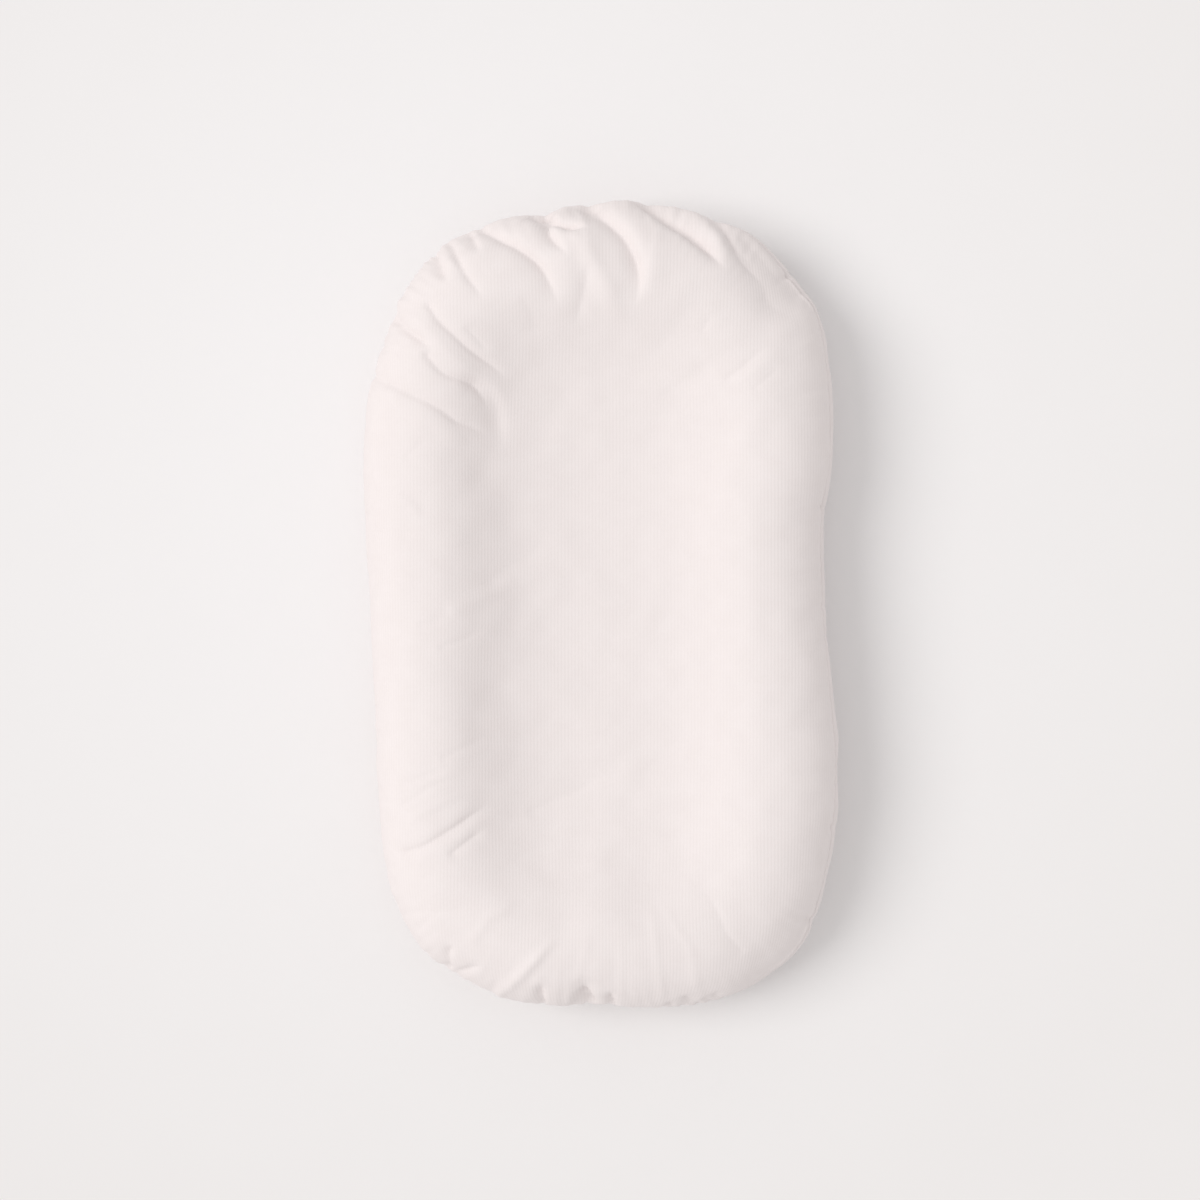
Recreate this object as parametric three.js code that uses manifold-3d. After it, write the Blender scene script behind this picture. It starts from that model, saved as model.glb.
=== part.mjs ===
// Infant lounger: a soft oval nest in a removable ribbed cover, with a zip along its underside.
//
// Lengths are millimetres. The lounger lies on z = 0 with its head end towards +y, and the origin is under
// the middle of its outline. Every soft layer is a section carried round the outline, which shrinks evenly
// towards a middle line as the section goes in. A point of a section is a distance in from the edge and a
// height, and each layer is the outer section set in by what lies outside it. So a new rim, well or cloth
// thickness moves everything inside it.

import * as THREE from 'three';
import { mergeVertices } from 'three/addons/utils/BufferGeometryUtils.js';
import Module from 'manifold-3d';

const wasm = await Module();
wasm.setup();

// Outline, seen from above
const length = 710;
const width = 419;
const spineInset = 205; // how far in from the edge the middle line lies, at the ends and the sides

// Rim and well
const seamHeight = 50;
const crestHeight = 110;
const crestInset = 60;
const wellInset = 195;
const wellHeight = 78;
const slopeLean = 0.7; // under 1 brings the steepest part of the inner slope nearer to the crest
const channelInset = 130; // stitched channel of the liner, between the rim and the middle
const channelReach = 40; // how far to each side of it the liner dips

// Underside
const footInset = 35; // where the rim leaves the floor, in from the edge
const footWidth = 60;
const hollowInset = 125; // from here on the underside is lifted off the floor
const hollowHeight = 14;

// Cloth and stuffing
const coverThickness = 1.2;
const linerThickness = 0.8;
const layerGap = 0.5; // between two layers of cloth
const stuffingGap = 0.8; // between the stuffing and the liner
const seamGap = 0.3; // between pieces that are sewn or clamped together
const allowanceWidth = 8; // seam allowance, folded down inside the edge
const allowanceThickness = 1.6;
const stitchWidth = 2.4;
const stitchThickness = 0.8;
const stuffingInset = 5; // the stuffing ends this far from the channel

// Folds of the loose cover
const foldHeight = 5;
const foldWidth = 34;
const foldReach = 120; // in from the edge

// Zip, along y
const slotEndInset = 179; // ends of the slot, in from the head and the foot
const slotLength = length - 2 * slotEndInset;
const slotWidth = 14.4;
const slotEndGap = 1;
const tapeTuck = 10; // of a tape past each end of the slot
const tapeLength = slotLength + 2 * tapeTuck;
const tapeWidth = 15;
const tapeThickness = 0.6;
const tapeSpacing = 4; // between the inner edges of the two tapes
const toothPitch = 3;
const toothReach = 1.1; // of a tooth over the middle of the zip
const toothRoot = 0.9;
const toothTip = 1.4;
const beadWidth = 1.4;
const chainThickness = 2.4;
const stopLength = 4;
const stopWidth = 2.4;
const stopWall = 0.8;

// Slider
const sliderRearLength = 6; // holds the closed chain
const sliderFrontLength = 6.5; // holds the wedge that parts it
const sliderWall = 0.9;
const sliderCorner = 1.6;
const plateThickness = 1.2;
const wedgeWidth = 2.4;
const wedgeLength = 4;
const slideGap = 0.3;
const crownWidth = 1.8;
const crownLength = 5.6;
const crownWall = 1.1;

// Pull
const pullLength = 24;
const pullThickness = 1.2;
const pullWidth = 7;
const pullArmWidth = 1.1;
const pullEyeLength = 4.2;
const pullTaperLength = 4;
const pullSwingGap = 0.4;
const floorGap = 0.6; // under the tip of the hanging pull

const overrun = 1; // of a cut past what it cuts

// Outline from the head end, anticlockwise: shares of half the width and half the length.
const outlineShares = [
  [0.006, 1], [-0.259, 0.98], [-0.512, 0.943], [-0.69, 0.885], [-0.81, 0.8], [-0.895, 0.69], [-0.98, 0.53],
  [-1, 0.386], [-0.992, 0.193], [-0.971, -0.036], [-0.949, -0.257], [-0.912, -0.471], [-0.885, -0.63],
  [-0.82, -0.735], [-0.7, -0.865], [-0.5, -0.955], [-0.28, -0.99], [0.006, -0.99], [0.364, -0.998],
  [0.625, -0.95], [0.844, -0.843], [0.966, -0.63], [1, -0.384], [0.971, -0.188], [0.945, 0], [0.94, 0.22],
  [0.971, 0.35], [0.971, 0.513], [0.912, 0.734], [0.84, 0.79], [0.735, 0.865], [0.615, 0.93], [0.474, 0.96],
  [0.23, 0.997],
];
const stationCount = 56;
const headCrowdingShare = 0.2; // stations stand closer together round the head
const endCrowdingShare = 0.35; // and closer at both ends than along the sides

// Folds: place along the outline from the head end, and height.
const foldShares = [
  [0.01, 0.7], [0.036, 1], [0.06, 0.6], [0.092, 0.7], [0.119, 1], [0.141, 0.9], [0.37, 0.5],
  [0.92, 0.4], [0.955, 0.8], [0.977, 1],
];

// Stations round the outline: a point on the edge, the way from there to the middle line for each unit of
// inset, and the place along the outline.

const outlineCurve = new THREE.CatmullRomCurve3(
  outlineShares.map(([x, y]) => new THREE.Vector3((x * width) / 2, (y * length) / 2, 0)),
  true,
  'centripetal',
);

function outlineStations() {
  const places = Array.from({ length: stationCount }, (_, k) => {
    const turn = (2 * Math.PI * k) / stationCount;
    const crowding = headCrowdingShare * Math.sin(turn) + (endCrowdingShare * Math.sin(2 * turn)) / 2;
    return (turn - crowding) / (2 * Math.PI);
  });
  const edges = places.map((place) => outlineCurve.getPointAt(place));
  const middle = new THREE.Box3().setFromPoints(edges).getCenter(new THREE.Vector3());
  const spineEnd = length / 2 - spineInset;
  return edges.map((edge, k) => {
    edge.sub(middle);
    const aim = new THREE.Vector3(0, THREE.MathUtils.clamp(edge.y, -spineEnd, spineEnd), 0);
    return { edge, inward: aim.sub(edge).divideScalar(spineInset), place: places[k] };
  });
}

const stations = outlineStations();
const perimeter = outlineCurve.getLength();

// Sections. They run from the well over the rim to the edge, and from the edge under the rim to the hollow.

const inFromEdge = new THREE.Vector2(1, 0); // the way that a layer is set in at the edge seam
const downFromTop = new THREE.Vector2(0, -1);
const upFromBase = new THREE.Vector2(0, 1);

// Height of the cover's slope from the crest down into the well: half a wave that leans towards the crest.
function slopeHeight(inset) {
  const run = THREE.MathUtils.clamp((inset - crestInset) / (wellInset - crestInset), 0, 1);
  const share = run ** slopeLean;
  return wellHeight + ((crestHeight - wellHeight) * (1 + Math.cos(Math.PI * share))) / 2;
}

// The shoulder from the crest to the edge is a little fuller than a quarter ellipse.
function topSection(slopeInsets) {
  const lowest = seamHeight + seamGap / 2;
  const fullnessShare = 0.9;
  const shoulder = [0, 36, 66, 90].map((degrees) => {
    const angle = THREE.MathUtils.degToRad(degrees);
    const rise = Math.max(Math.cos(angle), 0) ** fullnessShare;
    const run = 1 - Math.sin(angle) ** fullnessShare;
    return new THREE.Vector2(crestInset * run, lowest + (crestHeight - lowest) * rise);
  });
  return [...slopeInsets.map((inset) => new THREE.Vector2(inset, slopeHeight(inset))), ...shoulder];
}

function baseSection() {
  const highest = seamHeight - seamGap / 2;
  const allowanceAngle = THREE.MathUtils.radToDeg(Math.asin(allowanceWidth / seamHeight));
  const belly = [0, allowanceAngle, 36, 63, 90].map((degrees) => {
    const angle = THREE.MathUtils.degToRad(degrees);
    return new THREE.Vector2(footInset * (1 - Math.cos(angle)), highest * (1 - Math.sin(angle)));
  });
  const floorEnd = new THREE.Vector2(footInset + footWidth, 0);
  return [...belly, floorEnd, new THREE.Vector2(hollowInset, hollowHeight)];
}

// Sets a section in, each point by its own depth and square to the section there. A first or last way says
// how an end point moves where the section goes on into a flat middle, or stops at the edge seam.
function setIn(section, depths, firstWay, lastWay) {
  const last = section.length - 1;
  const squareTo = (k) => {
    const along = section[k + 1].clone().sub(section[k]).normalize();
    return new THREE.Vector2(-along.y, along.x);
  };
  return section.map((point, k) => {
    const depth = Array.isArray(depths) ? depths[k] : depths;
    if (k === 0) return point.clone().addScaledVector(firstWay ?? squareTo(0), depth);
    if (k === last) return point.clone().addScaledVector(lastWay ?? squareTo(last - 1), depth);
    const way = squareTo(k - 1).add(squareTo(k)).normalize();
    return point.clone().addScaledVector(way, depth / way.dot(squareTo(k)));
  });
}

// Depths with more room at the edge, where a seam allowance hangs, fading out over the next points.
const fadePoints = 3;
const topDepths = (section, depth, edgeRoom) =>
  section.map((_, k) => depth + edgeRoom * Math.max(0, 1 - (section.length - 1 - k) / fadePoints));
const baseDepths = (section, depth, edgeRoom, middleRoom) =>
  section.map((_, k) => {
    const edgeShare = THREE.MathUtils.clamp(1 - (k - 1) / fadePoints, 0, 1);
    return depth + edgeRoom * edgeShare + (k === section.length - 1 ? middleRoom : 0);
  });

// Bodies from sections

function ringsOf(section, lift) {
  return section.map((point) =>
    stations.map((station) => {
      const place = station.edge.clone().addScaledVector(station.inward, point.x);
      place.z = point.y + (lift ? lift(station, point) : 0);
      return place;
    }),
  );
}

// Faces between two rings of a section, all the way round. Every layer folds its faces along the same
// diagonal, from the ring that is further in, so that layers stay parallel.
function bandFaces(section, ring, nextRing) {
  const faces = [];
  const goesOut = section[ring].x >= section[nextRing].x;
  for (let k = 0; k < stationCount; k++) {
    const next = (k + 1) % stationCount;
    const [a, b] = [ring * stationCount + k, ring * stationCount + next];
    const [c, d] = [nextRing * stationCount + k, nextRing * stationCount + next];
    faces.push(...(goesOut ? [a, c, d, a, d, b] : [a, c, b, b, c, d]));
  }
  return faces;
}

// Closes a ring over the middle, with rungs from each station to the one across.
function capFaces(ring, facesUp) {
  const faces = [];
  const across = (k) => (stationCount - k) % stationCount;
  for (let k = 0; k < stationCount / 2; k++) {
    const [a, b, c, d] = [k, k + 1, across(k + 1), across(k)].map((n) => ring * stationCount + n);
    const rung = [];
    if (b !== c) rung.push([a, b, c]);
    if (a !== d) rung.push([a, c, d]);
    rung.forEach(([p, q, r]) => faces.push(p, facesUp ? q : r, facesUp ? r : q));
  }
  return faces;
}

function meshOf(rings, faces) {
  const geometry = new THREE.BufferGeometry();
  const places = rings.flat().flatMap((place) => place.toArray());
  geometry.setAttribute('position', new THREE.Float32BufferAttribute(places, 3));
  geometry.setIndex(faces);
  geometry.computeVertexNormals();
  return geometry;
}

// A closed sheet or pad. Its section starts over the middle, goes out above and comes back below.
function sheetBody(section, lift) {
  const rings = ringsOf(section, lift);
  const last = rings.length - 1;
  const faces = [...capFaces(0, true), ...capFaces(last, false)];
  for (let ring = 0; ring < last; ring++) faces.push(...bandFaces(section, ring, ring + 1));
  return meshOf(rings, faces);
}

// A closed ring. Its section goes out above, comes back below and ends where it starts.
function ringBody(section) {
  const rings = ringsOf(section);
  const faces = rings.flatMap((_, ring) => bandFaces(section, ring, (ring + 1) % rings.length));
  return meshOf(rings, faces);
}

// Solids that are cut or joined

function solidOf(geometry) {
  const bare = geometry.clone();
  bare.deleteAttribute('normal');
  bare.deleteAttribute('uv');
  const merged = mergeVertices(bare);
  const vertProperties = new Float32Array(merged.attributes.position.array);
  const triVerts = new Uint32Array(merged.index.array);
  return new wasm.Manifold(new wasm.Mesh({ numProp: 3, vertProperties, triVerts }));
}

function geometryOf(solid) {
  const mesh = solid.getMesh();
  const geometry = new THREE.BufferGeometry();
  geometry.setAttribute('position', new THREE.Float32BufferAttribute(mesh.vertProperties, 3));
  geometry.setIndex(Array.from(mesh.triVerts));
  geometry.computeVertexNormals();
  return geometry;
}

const joined = (...parts) => geometryOf(parts.map(solidOf).reduce((whole, part) => whole.add(part)));
const cut = (body, ...cutters) =>
  geometryOf(cutters.map(solidOf).reduce((whole, cutter) => whole.subtract(cutter), solidOf(body)));

// A block between two places along each axis, given in either order.
function block(xs, ys, zs) {
  const size = [xs, ys, zs].map(([from, to]) => Math.abs(to - from));
  const middle = [xs, ys, zs].map(([from, to]) => (from + to) / 2);
  return new THREE.BoxGeometry(...size).translate(...middle);
}

const shapeOf = (points) => new THREE.Shape(points.map(([x, y]) => new THREE.Vector2(x, y)));
const acrossFrom = (points) => points.map(([x, y]) => [-x, y]).toReversed();
const curveSegments = 5;
const solidShape = (shape, depth) =>
  new THREE.ExtrudeGeometry(shape, { depth, curveSegments, bevelEnabled: false });

// A plan shape between two heights.
const upright = (shape, [z0, z1]) => solidShape(shape, z1 - z0).translate(0, 0, z0);

// A cross shape, x across and z up, between two places along y.
const lengthways = (shape, [y0, y1]) => solidShape(shape, y1 - y0).rotateX(Math.PI / 2).translate(0, y1, 0);

// A side shape, y along and z up, centred across x.
const crossways = (shape, span) =>
  solidShape(shape, span).rotateX(Math.PI / 2).rotateZ(Math.PI / 2).translate(-span / 2, 0, 0);

// Cover: a top panel, and an underside in two halves. The edges are sewn together and folded down inside.

const slopeInsets = [channelReach / 2, 0, -channelReach / 2, -channelReach].map((away) => channelInset + away);
const coverTop = topSection([wellInset, ...slopeInsets]);
const coverBase = baseSection();
const coverTopInside = setIn(coverTop, coverThickness, downFromTop, inFromEdge);
const coverBaseInside = setIn(coverBase, coverThickness, inFromEdge, upFromBase);

// The loose top stands up in folds, which rise from the edge over the crest and run out before the well.
function foldLift(station, point) {
  if (point.x > foldReach) return 0;
  const along = foldShares.reduce((sum, [place, heightShare]) => {
    const apart = Math.abs(station.place - place);
    const away = (Math.min(apart, 1 - apart) * perimeter) / (foldWidth / 2);
    return sum + (away < 1 ? heightShare * Math.cos((Math.PI / 2) * away) ** 2 : 0);
  }, 0);
  return foldHeight * along * Math.sin((Math.PI * point.x) / foldReach);
}

const coverTopPanel = () => sheetBody([...coverTop, ...coverTopInside.toReversed()], foldLift);

function coverUnderside(side) {
  const whole = sheetBody([...coverBaseInside.toReversed(), ...coverBase]);
  const heights = [-overrun, seamHeight];
  const otherHalf = block([-width * side, (seamGap / 2) * side], [-length, length], heights);
  const slot = block([-slotWidth / 2, slotWidth / 2], [-slotLength / 2, slotLength / 2], heights);
  return cut(whole, otherHalf, slot);
}

// A folded seam allowance hangs inside the first two points of a base section.
function seamAllowance(clothInside) {
  const [outerTop, outerEnd] = setIn(clothInside, seamGap, inFromEdge, upFromBase);
  const [innerTop, innerEnd] = setIn(clothInside, seamGap + allowanceThickness, inFromEdge, upFromBase);
  return ringBody([innerTop, outerTop, outerEnd, innerEnd]);
}

// Liner: two panels, sewn together at the edge and along the channel that parts the rim from the middle.
// Over the zip its base is raised to clear the slider.

const tapeMiddle = hollowHeight + coverThickness + seamGap + tapeThickness / 2;
const plateInside = chainThickness / 2 + slideGap; // of the slider's plates, from the middle of the tape
const plateOutside = plateInside + plateThickness;
const allowanceRoom = seamGap + allowanceThickness;
const linerDepth = coverThickness + layerGap;
const zipRoom = tapeMiddle + plateOutside - hollowHeight - coverThickness;

const outFromChannel = [stuffingInset, channelReach / 2, channelReach];
const linerInsets = [
  wellInset,
  ...outFromChannel.map((away) => channelInset + away).toReversed(),
  channelInset,
  ...outFromChannel.map((away) => channelInset - away),
];
const linerGuide = topSection(linerInsets);
const channelPoint = linerInsets.indexOf(channelInset);
const baseLayer = (depth) =>
  setIn(coverBase, baseDepths(coverBase, depth, allowanceRoom, zipRoom), inFromEdge, upFromBase);
const linerBase = baseLayer(linerDepth);
const linerBaseInside = baseLayer(linerDepth + linerThickness);
const middleFloor = linerBaseInside.at(-1).y;
const stitchHeights = [middleFloor + seamGap, middleFloor + seamGap + stitchThickness];

// The top panel dips to the stitching at the channel.
function dipped(section) {
  const lowest = stitchHeights[1] + seamGap;
  return section.map((point, k) => {
    const away = Math.abs(linerGuide[k].x - channelInset) / channelReach;
    const share = away < 1 ? Math.cos((Math.PI / 2) * away) ** 2 : 0;
    return new THREE.Vector2(point.x, THREE.MathUtils.lerp(point.y, lowest, share));
  });
}

const linerTopDepths = topDepths(linerGuide, linerDepth + linerThickness, allowanceRoom);
const linerTopInside = dipped(setIn(linerGuide, linerTopDepths, downFromTop, inFromEdge));
const linerTop = setIn(linerTopInside, -linerThickness, downFromTop, inFromEdge);

const linerTopPanel = () => sheetBody([...linerTop, ...linerTopInside.toReversed()]);
const linerBasePanel = () => sheetBody([...linerBaseInside.toReversed(), ...linerBase]);

function channelStitching() {
  const [inner, outer] = [channelInset + stitchWidth / 2, channelInset - stitchWidth / 2];
  const [low, high] = stitchHeights;
  const corners = [[inner, high], [outer, high], [outer, low], [inner, low]];
  return ringBody(corners.map(([x, y]) => new THREE.Vector2(x, y)));
}

// Stuffing: a ring in the rim and a pad in the middle, which both thin out towards the channel.

function rimStuffing() {
  const topGuide = linerTopInside.slice(channelPoint + 1);
  const floorEnd = linerBaseInside.at(-2);
  const hollow = linerBaseInside.at(-1);
  const reach = channelInset - stuffingInset;
  const riseShare = Math.min(1, (reach - floorEnd.x) / (hollow.x - floorEnd.x));
  const baseEnd = new THREE.Vector2(reach, THREE.MathUtils.lerp(floorEnd.y, hollow.y, riseShare));
  const baseGuide = [...linerBaseInside.slice(0, -1), baseEnd];
  const top = setIn(topGuide, topDepths(topGuide, stuffingGap, allowanceRoom), undefined, inFromEdge);
  const base = setIn(baseGuide, baseDepths(baseGuide, stuffingGap, allowanceRoom, 0), inFromEdge);
  return ringBody([...top, ...base]);
}

function middleStuffing() {
  const top = setIn(linerTopInside.slice(0, channelPoint), stuffingGap, downFromTop);
  const bottom = new THREE.Vector2(channelInset + stuffingInset, middleFloor + stuffingGap);
  return sheetBody([...top, bottom]);
}

// Zip: each part is placed along y from the foot end of the slot.

const bottomStopStart = -slotLength / 2 + slotEndGap;
const chainStart = bottomStopStart + stopLength + slideGap;
const chainRoom = slotLength / 2 - slotEndGap - stopLength - slideGap - sliderFrontLength - chainStart;
const toothCount = Math.floor(chainRoom / toothPitch - 1 / 2);
const chainEnd = chainStart + (toothCount + 1 / 2) * toothPitch;
const topStopStart = chainEnd + sliderFrontLength + slideGap;
const tapeEdge = tapeSpacing / 2;
const clampHalf = tapeThickness / 2 + seamGap; // half of the groove that a tape lies in
const clampEdge = tapeEdge - seamGap;
const beadInside = toothReach + seamGap; // clear of the other row's tips
const chainHalf = beadInside + beadWidth;

function zipTape(side) {
  const across = [tapeEdge * side, (tapeEdge + tapeWidth) * side];
  return block(across, [-tapeLength / 2, tapeLength / 2], [-tapeThickness / 2, tapeThickness / 2]);
}

// A row of teeth on its bead. Each tooth widens to its tip, which lies between two teeth of the other row.
function zipTeeth(side) {
  const first = chainStart + (side > 0 ? toothPitch / 2 : toothPitch);
  const teeth = Array.from({ length: toothCount }, (_, k) => first + k * toothPitch).flatMap((middle) => [
    [beadInside, middle - toothRoot / 2],
    [-toothReach, middle - toothTip / 2],
    [-toothReach, middle + toothTip / 2],
    [beadInside, middle + toothRoot / 2],
  ]);
  const outline = [[chainHalf, chainStart], [beadInside, chainStart], ...teeth];
  outline.push([beadInside, chainEnd], [chainHalf, chainEnd]);
  const plan = shapeOf(side > 0 ? outline : acrossFrom(outline));
  const row = upright(plan, [-chainThickness / 2, chainThickness / 2]);
  const groove = block(
    [clampEdge * side, (chainHalf + overrun) * side],
    [chainStart - overrun, chainEnd + overrun],
    [-clampHalf, clampHalf],
  );
  return cut(row, groove);
}

// Half of a stop's cross shape: two jaws over and under a tape.
function stopJaws(innerEdge) {
  const outside = clampEdge + stopWidth;
  const top = clampHalf + stopWall;
  return [
    [innerEdge, -top], [outside, -top], [outside, -clampHalf], [clampEdge, -clampHalf],
    [clampEdge, clampHalf], [outside, clampHalf], [outside, top], [innerEdge, top],
  ];
}

function topStop(side) {
  const jaws = stopJaws(clampEdge - stopWall);
  const shape = shapeOf(side > 0 ? jaws : acrossFrom(jaws));
  return lengthways(shape, [topStopStart, topStopStart + stopLength]);
}

function bottomStop() {
  const jaws = stopJaws(0).slice(1, -1);
  const shape = shapeOf([...jaws, ...acrossFrom(jaws)]);
  return lengthways(shape, [bottomStopStart, bottomStopStart + stopLength]);
}

// Slider: two plates joined by the wedge, with side walls round the rows and a slot for the tapes. Its rear is
// narrow, round the closed chain, and its front is wide enough for a row on each side of the wedge.

const sliderLength = sliderRearLength + sliderFrontLength;
const rearHalf = chainHalf + slideGap;
const frontHalf = wedgeWidth / 2 + slideGap + toothReach + chainHalf + slideGap;
const pinRadius = pullThickness / 2;
const pivotDepth = Math.hypot(pinRadius, pinRadius) + pullSwingGap; // under the lower plate
const crownDepth = pivotDepth + pinRadius + slideGap + crownWall;

function sliderPlan(wall, corner, endRoom) {
  const [rear, front] = [rearHalf + wall, frontHalf + wall];
  const flareEnd = sliderRearLength + wedgeLength;
  const end = sliderLength + endRoom;
  const bend = wedgeLength / 2;
  const shape = new THREE.Shape();
  shape.moveTo(-rear, -endRoom).lineTo(rear, -endRoom).lineTo(rear, sliderRearLength);
  shape.bezierCurveTo(rear, sliderRearLength + bend, front, flareEnd - bend, front, flareEnd);
  shape.lineTo(front, end - corner).quadraticCurveTo(front, end, front - corner, end);
  shape.lineTo(corner - front, end).quadraticCurveTo(-front, end, -front, end - corner);
  shape.lineTo(-front, flareEnd);
  shape.bezierCurveTo(-front, flareEnd - bend, -rear, sliderRearLength + bend, -rear, sliderRearLength);
  return shape;
}

function upToCrown(radiusY, radiusZ) {
  const shape = new THREE.Path();
  shape.absellipse(0, -plateOutside, radiusY, radiusZ, Math.PI, 2 * Math.PI, false, 0);
  return shape;
}

function sliderCrown() {
  const outside = new THREE.Shape(upToCrown(crownLength / 2, crownDepth).getPoints(curveSegments));
  outside.lineTo(crownLength / 2, -plateInside - plateThickness / 2);
  outside.lineTo(-crownLength / 2, -plateInside - plateThickness / 2);
  outside.holes.push(upToCrown(crownLength / 2 - crownWall, crownDepth - crownWall));
  return crossways(outside, crownWidth).translate(0, sliderLength / 2, 0);
}

function zipSlider() {
  const body = upright(sliderPlan(sliderWall, sliderCorner, 0), [-plateOutside, plateOutside]);
  const channel = upright(sliderPlan(0, 0, overrun), [-plateInside, plateInside]);
  const clearWidth = frontHalf + sliderWall + overrun;
  const lengthwise = [-overrun, sliderLength + overrun];
  const tapeSlot = block([-clearWidth, clearWidth], lengthwise, [-clampHalf, clampHalf]);
  const wedgeStart = sliderRearLength + slideGap;
  const wedge = shapeOf([
    [0, wedgeStart],
    [wedgeWidth / 2, wedgeStart + (wedgeLength * 2) / 3],
    [wedgeWidth / 2, wedgeStart + wedgeLength],
    [-wedgeWidth / 2, wedgeStart + wedgeLength],
    [-wedgeWidth / 2, wedgeStart + (wedgeLength * 2) / 3],
  ]);
  const wedgeHalf = plateInside + plateThickness / 2;
  return joined(cut(body, channel, tapeSlot), upright(wedge, [-wedgeHalf, wedgeHalf]), sliderCrown());
}

// Pull: a tab with two arms and a pin through the slider's crown, drawn along -y from the pin.
function zipPull() {
  const armInside = crownWidth / 2 + pullSwingGap;
  const armOutside = armInside + pullArmWidth;
  const tabRadius = pullWidth / 2;
  const tab = new THREE.Shape();
  tab.moveTo(armInside, pinRadius).lineTo(armInside, -pullEyeLength).lineTo(-armInside, -pullEyeLength);
  tab.lineTo(-armInside, pinRadius).lineTo(-armOutside, pinRadius).lineTo(-armOutside, -pullEyeLength);
  tab.lineTo(-tabRadius, -pullEyeLength - pullTaperLength).lineTo(-tabRadius, tabRadius - pullLength);
  tab.absarc(0, tabRadius - pullLength, tabRadius, Math.PI, 2 * Math.PI, false);
  tab.lineTo(tabRadius, -pullEyeLength - pullTaperLength).lineTo(armOutside, -pullEyeLength);
  tab.lineTo(armOutside, pinRadius);
  const pinLength = 2 * armInside + pullArmWidth;
  const pin = new THREE.CylinderGeometry(pinRadius, pinRadius, pinLength, 12).rotateZ(Math.PI / 2);
  return joined(upright(tab, [-pullThickness / 2, pullThickness / 2]), pin);
}

// The pull hangs from its pin until its tip is just over the floor.
const pivotHeight = tapeMiddle - plateOutside - pivotDepth;
const pullDroop = Math.asin((pivotHeight - pullThickness / 2 - floorGap) / pullLength);

// Finishes, and the pieces in their places

const coverCloth = new THREE.MeshStandardMaterial({ color: '#efe7e4', roughness: 0.95 });
const linerCloth = new THREE.MeshStandardMaterial({ color: '#f4f1ec', roughness: 0.9 });
const thread = new THREE.MeshStandardMaterial({ color: '#ebe3dd', roughness: 0.8 });
const stuffing = new THREE.MeshStandardMaterial({ color: '#fbfbf9', roughness: 1 });
const tapeCloth = new THREE.MeshStandardMaterial({ color: '#ece4de', roughness: 0.85 });
const toothPlastic = new THREE.MeshStandardMaterial({ color: '#ebe5df', roughness: 0.4 });
const zipMetal = new THREE.MeshStandardMaterial({ color: '#c9c7c3', roughness: 0.35, metalness: 0.9 });

const lounger = new THREE.Group();

function add(parent, name, geometry, material) {
  const mesh = new THREE.Mesh(geometry, material);
  mesh.name = name;
  parent.add(mesh);
  return mesh;
}

add(lounger, 'cover_top_panel', coverTopPanel(), coverCloth);
add(lounger, 'cover_underside_left', coverUnderside(-1), coverCloth);
add(lounger, 'cover_underside_right', coverUnderside(1), coverCloth);
add(lounger, 'cover_seam_allowance', seamAllowance(coverBaseInside), coverCloth);
add(lounger, 'liner_top_panel', linerTopPanel(), linerCloth);
add(lounger, 'liner_base_panel', linerBasePanel(), linerCloth);
add(lounger, 'liner_seam_allowance', seamAllowance(linerBaseInside), linerCloth);
add(lounger, 'liner_channel_stitching', channelStitching(), thread);
add(lounger, 'rim_stuffing', rimStuffing(), stuffing);
add(lounger, 'middle_stuffing', middleStuffing(), stuffing);

const zip = new THREE.Group();
zip.position.z = tapeMiddle;
lounger.add(zip);
for (const [hand, side] of [['left', -1], ['right', 1]]) {
  add(zip, `zip_tape_${hand}`, zipTape(side), tapeCloth);
  add(zip, `zip_teeth_${hand}`, zipTeeth(side), toothPlastic);
  add(zip, `zip_top_stop_${hand}`, topStop(side), zipMetal);
}
add(zip, 'zip_bottom_stop', bottomStop(), zipMetal);

const slider = add(zip, 'zip_slider', zipSlider(), zipMetal);
slider.position.y = chainEnd - sliderRearLength;

const pull = add(lounger, 'zip_pull', zipPull(), zipMetal);
pull.position.set(0, slider.position.y + sliderLength / 2, pivotHeight);
pull.rotation.x = pullDroop;

export default lounger;
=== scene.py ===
# %% [markdown]
# # An infant lounger in a ribbed cover
#
# The object is a soft oval nest: a stuffed rim round a shallow padded well, in a removable cover of cream
# ribbed knit with a zip underneath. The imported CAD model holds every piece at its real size. This lesson
# dresses it: each soft piece gets a fine surface of its own, and the hard pieces of the zip get finishes.
#
# All soft pieces are worked out in the same way. A section of the lounger is one curve of arc length, and
# it is carried round the outline. So a piece is a function of two numbers: a place along the outline, and
# an arc length from the edge seam.

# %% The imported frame
import math

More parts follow.
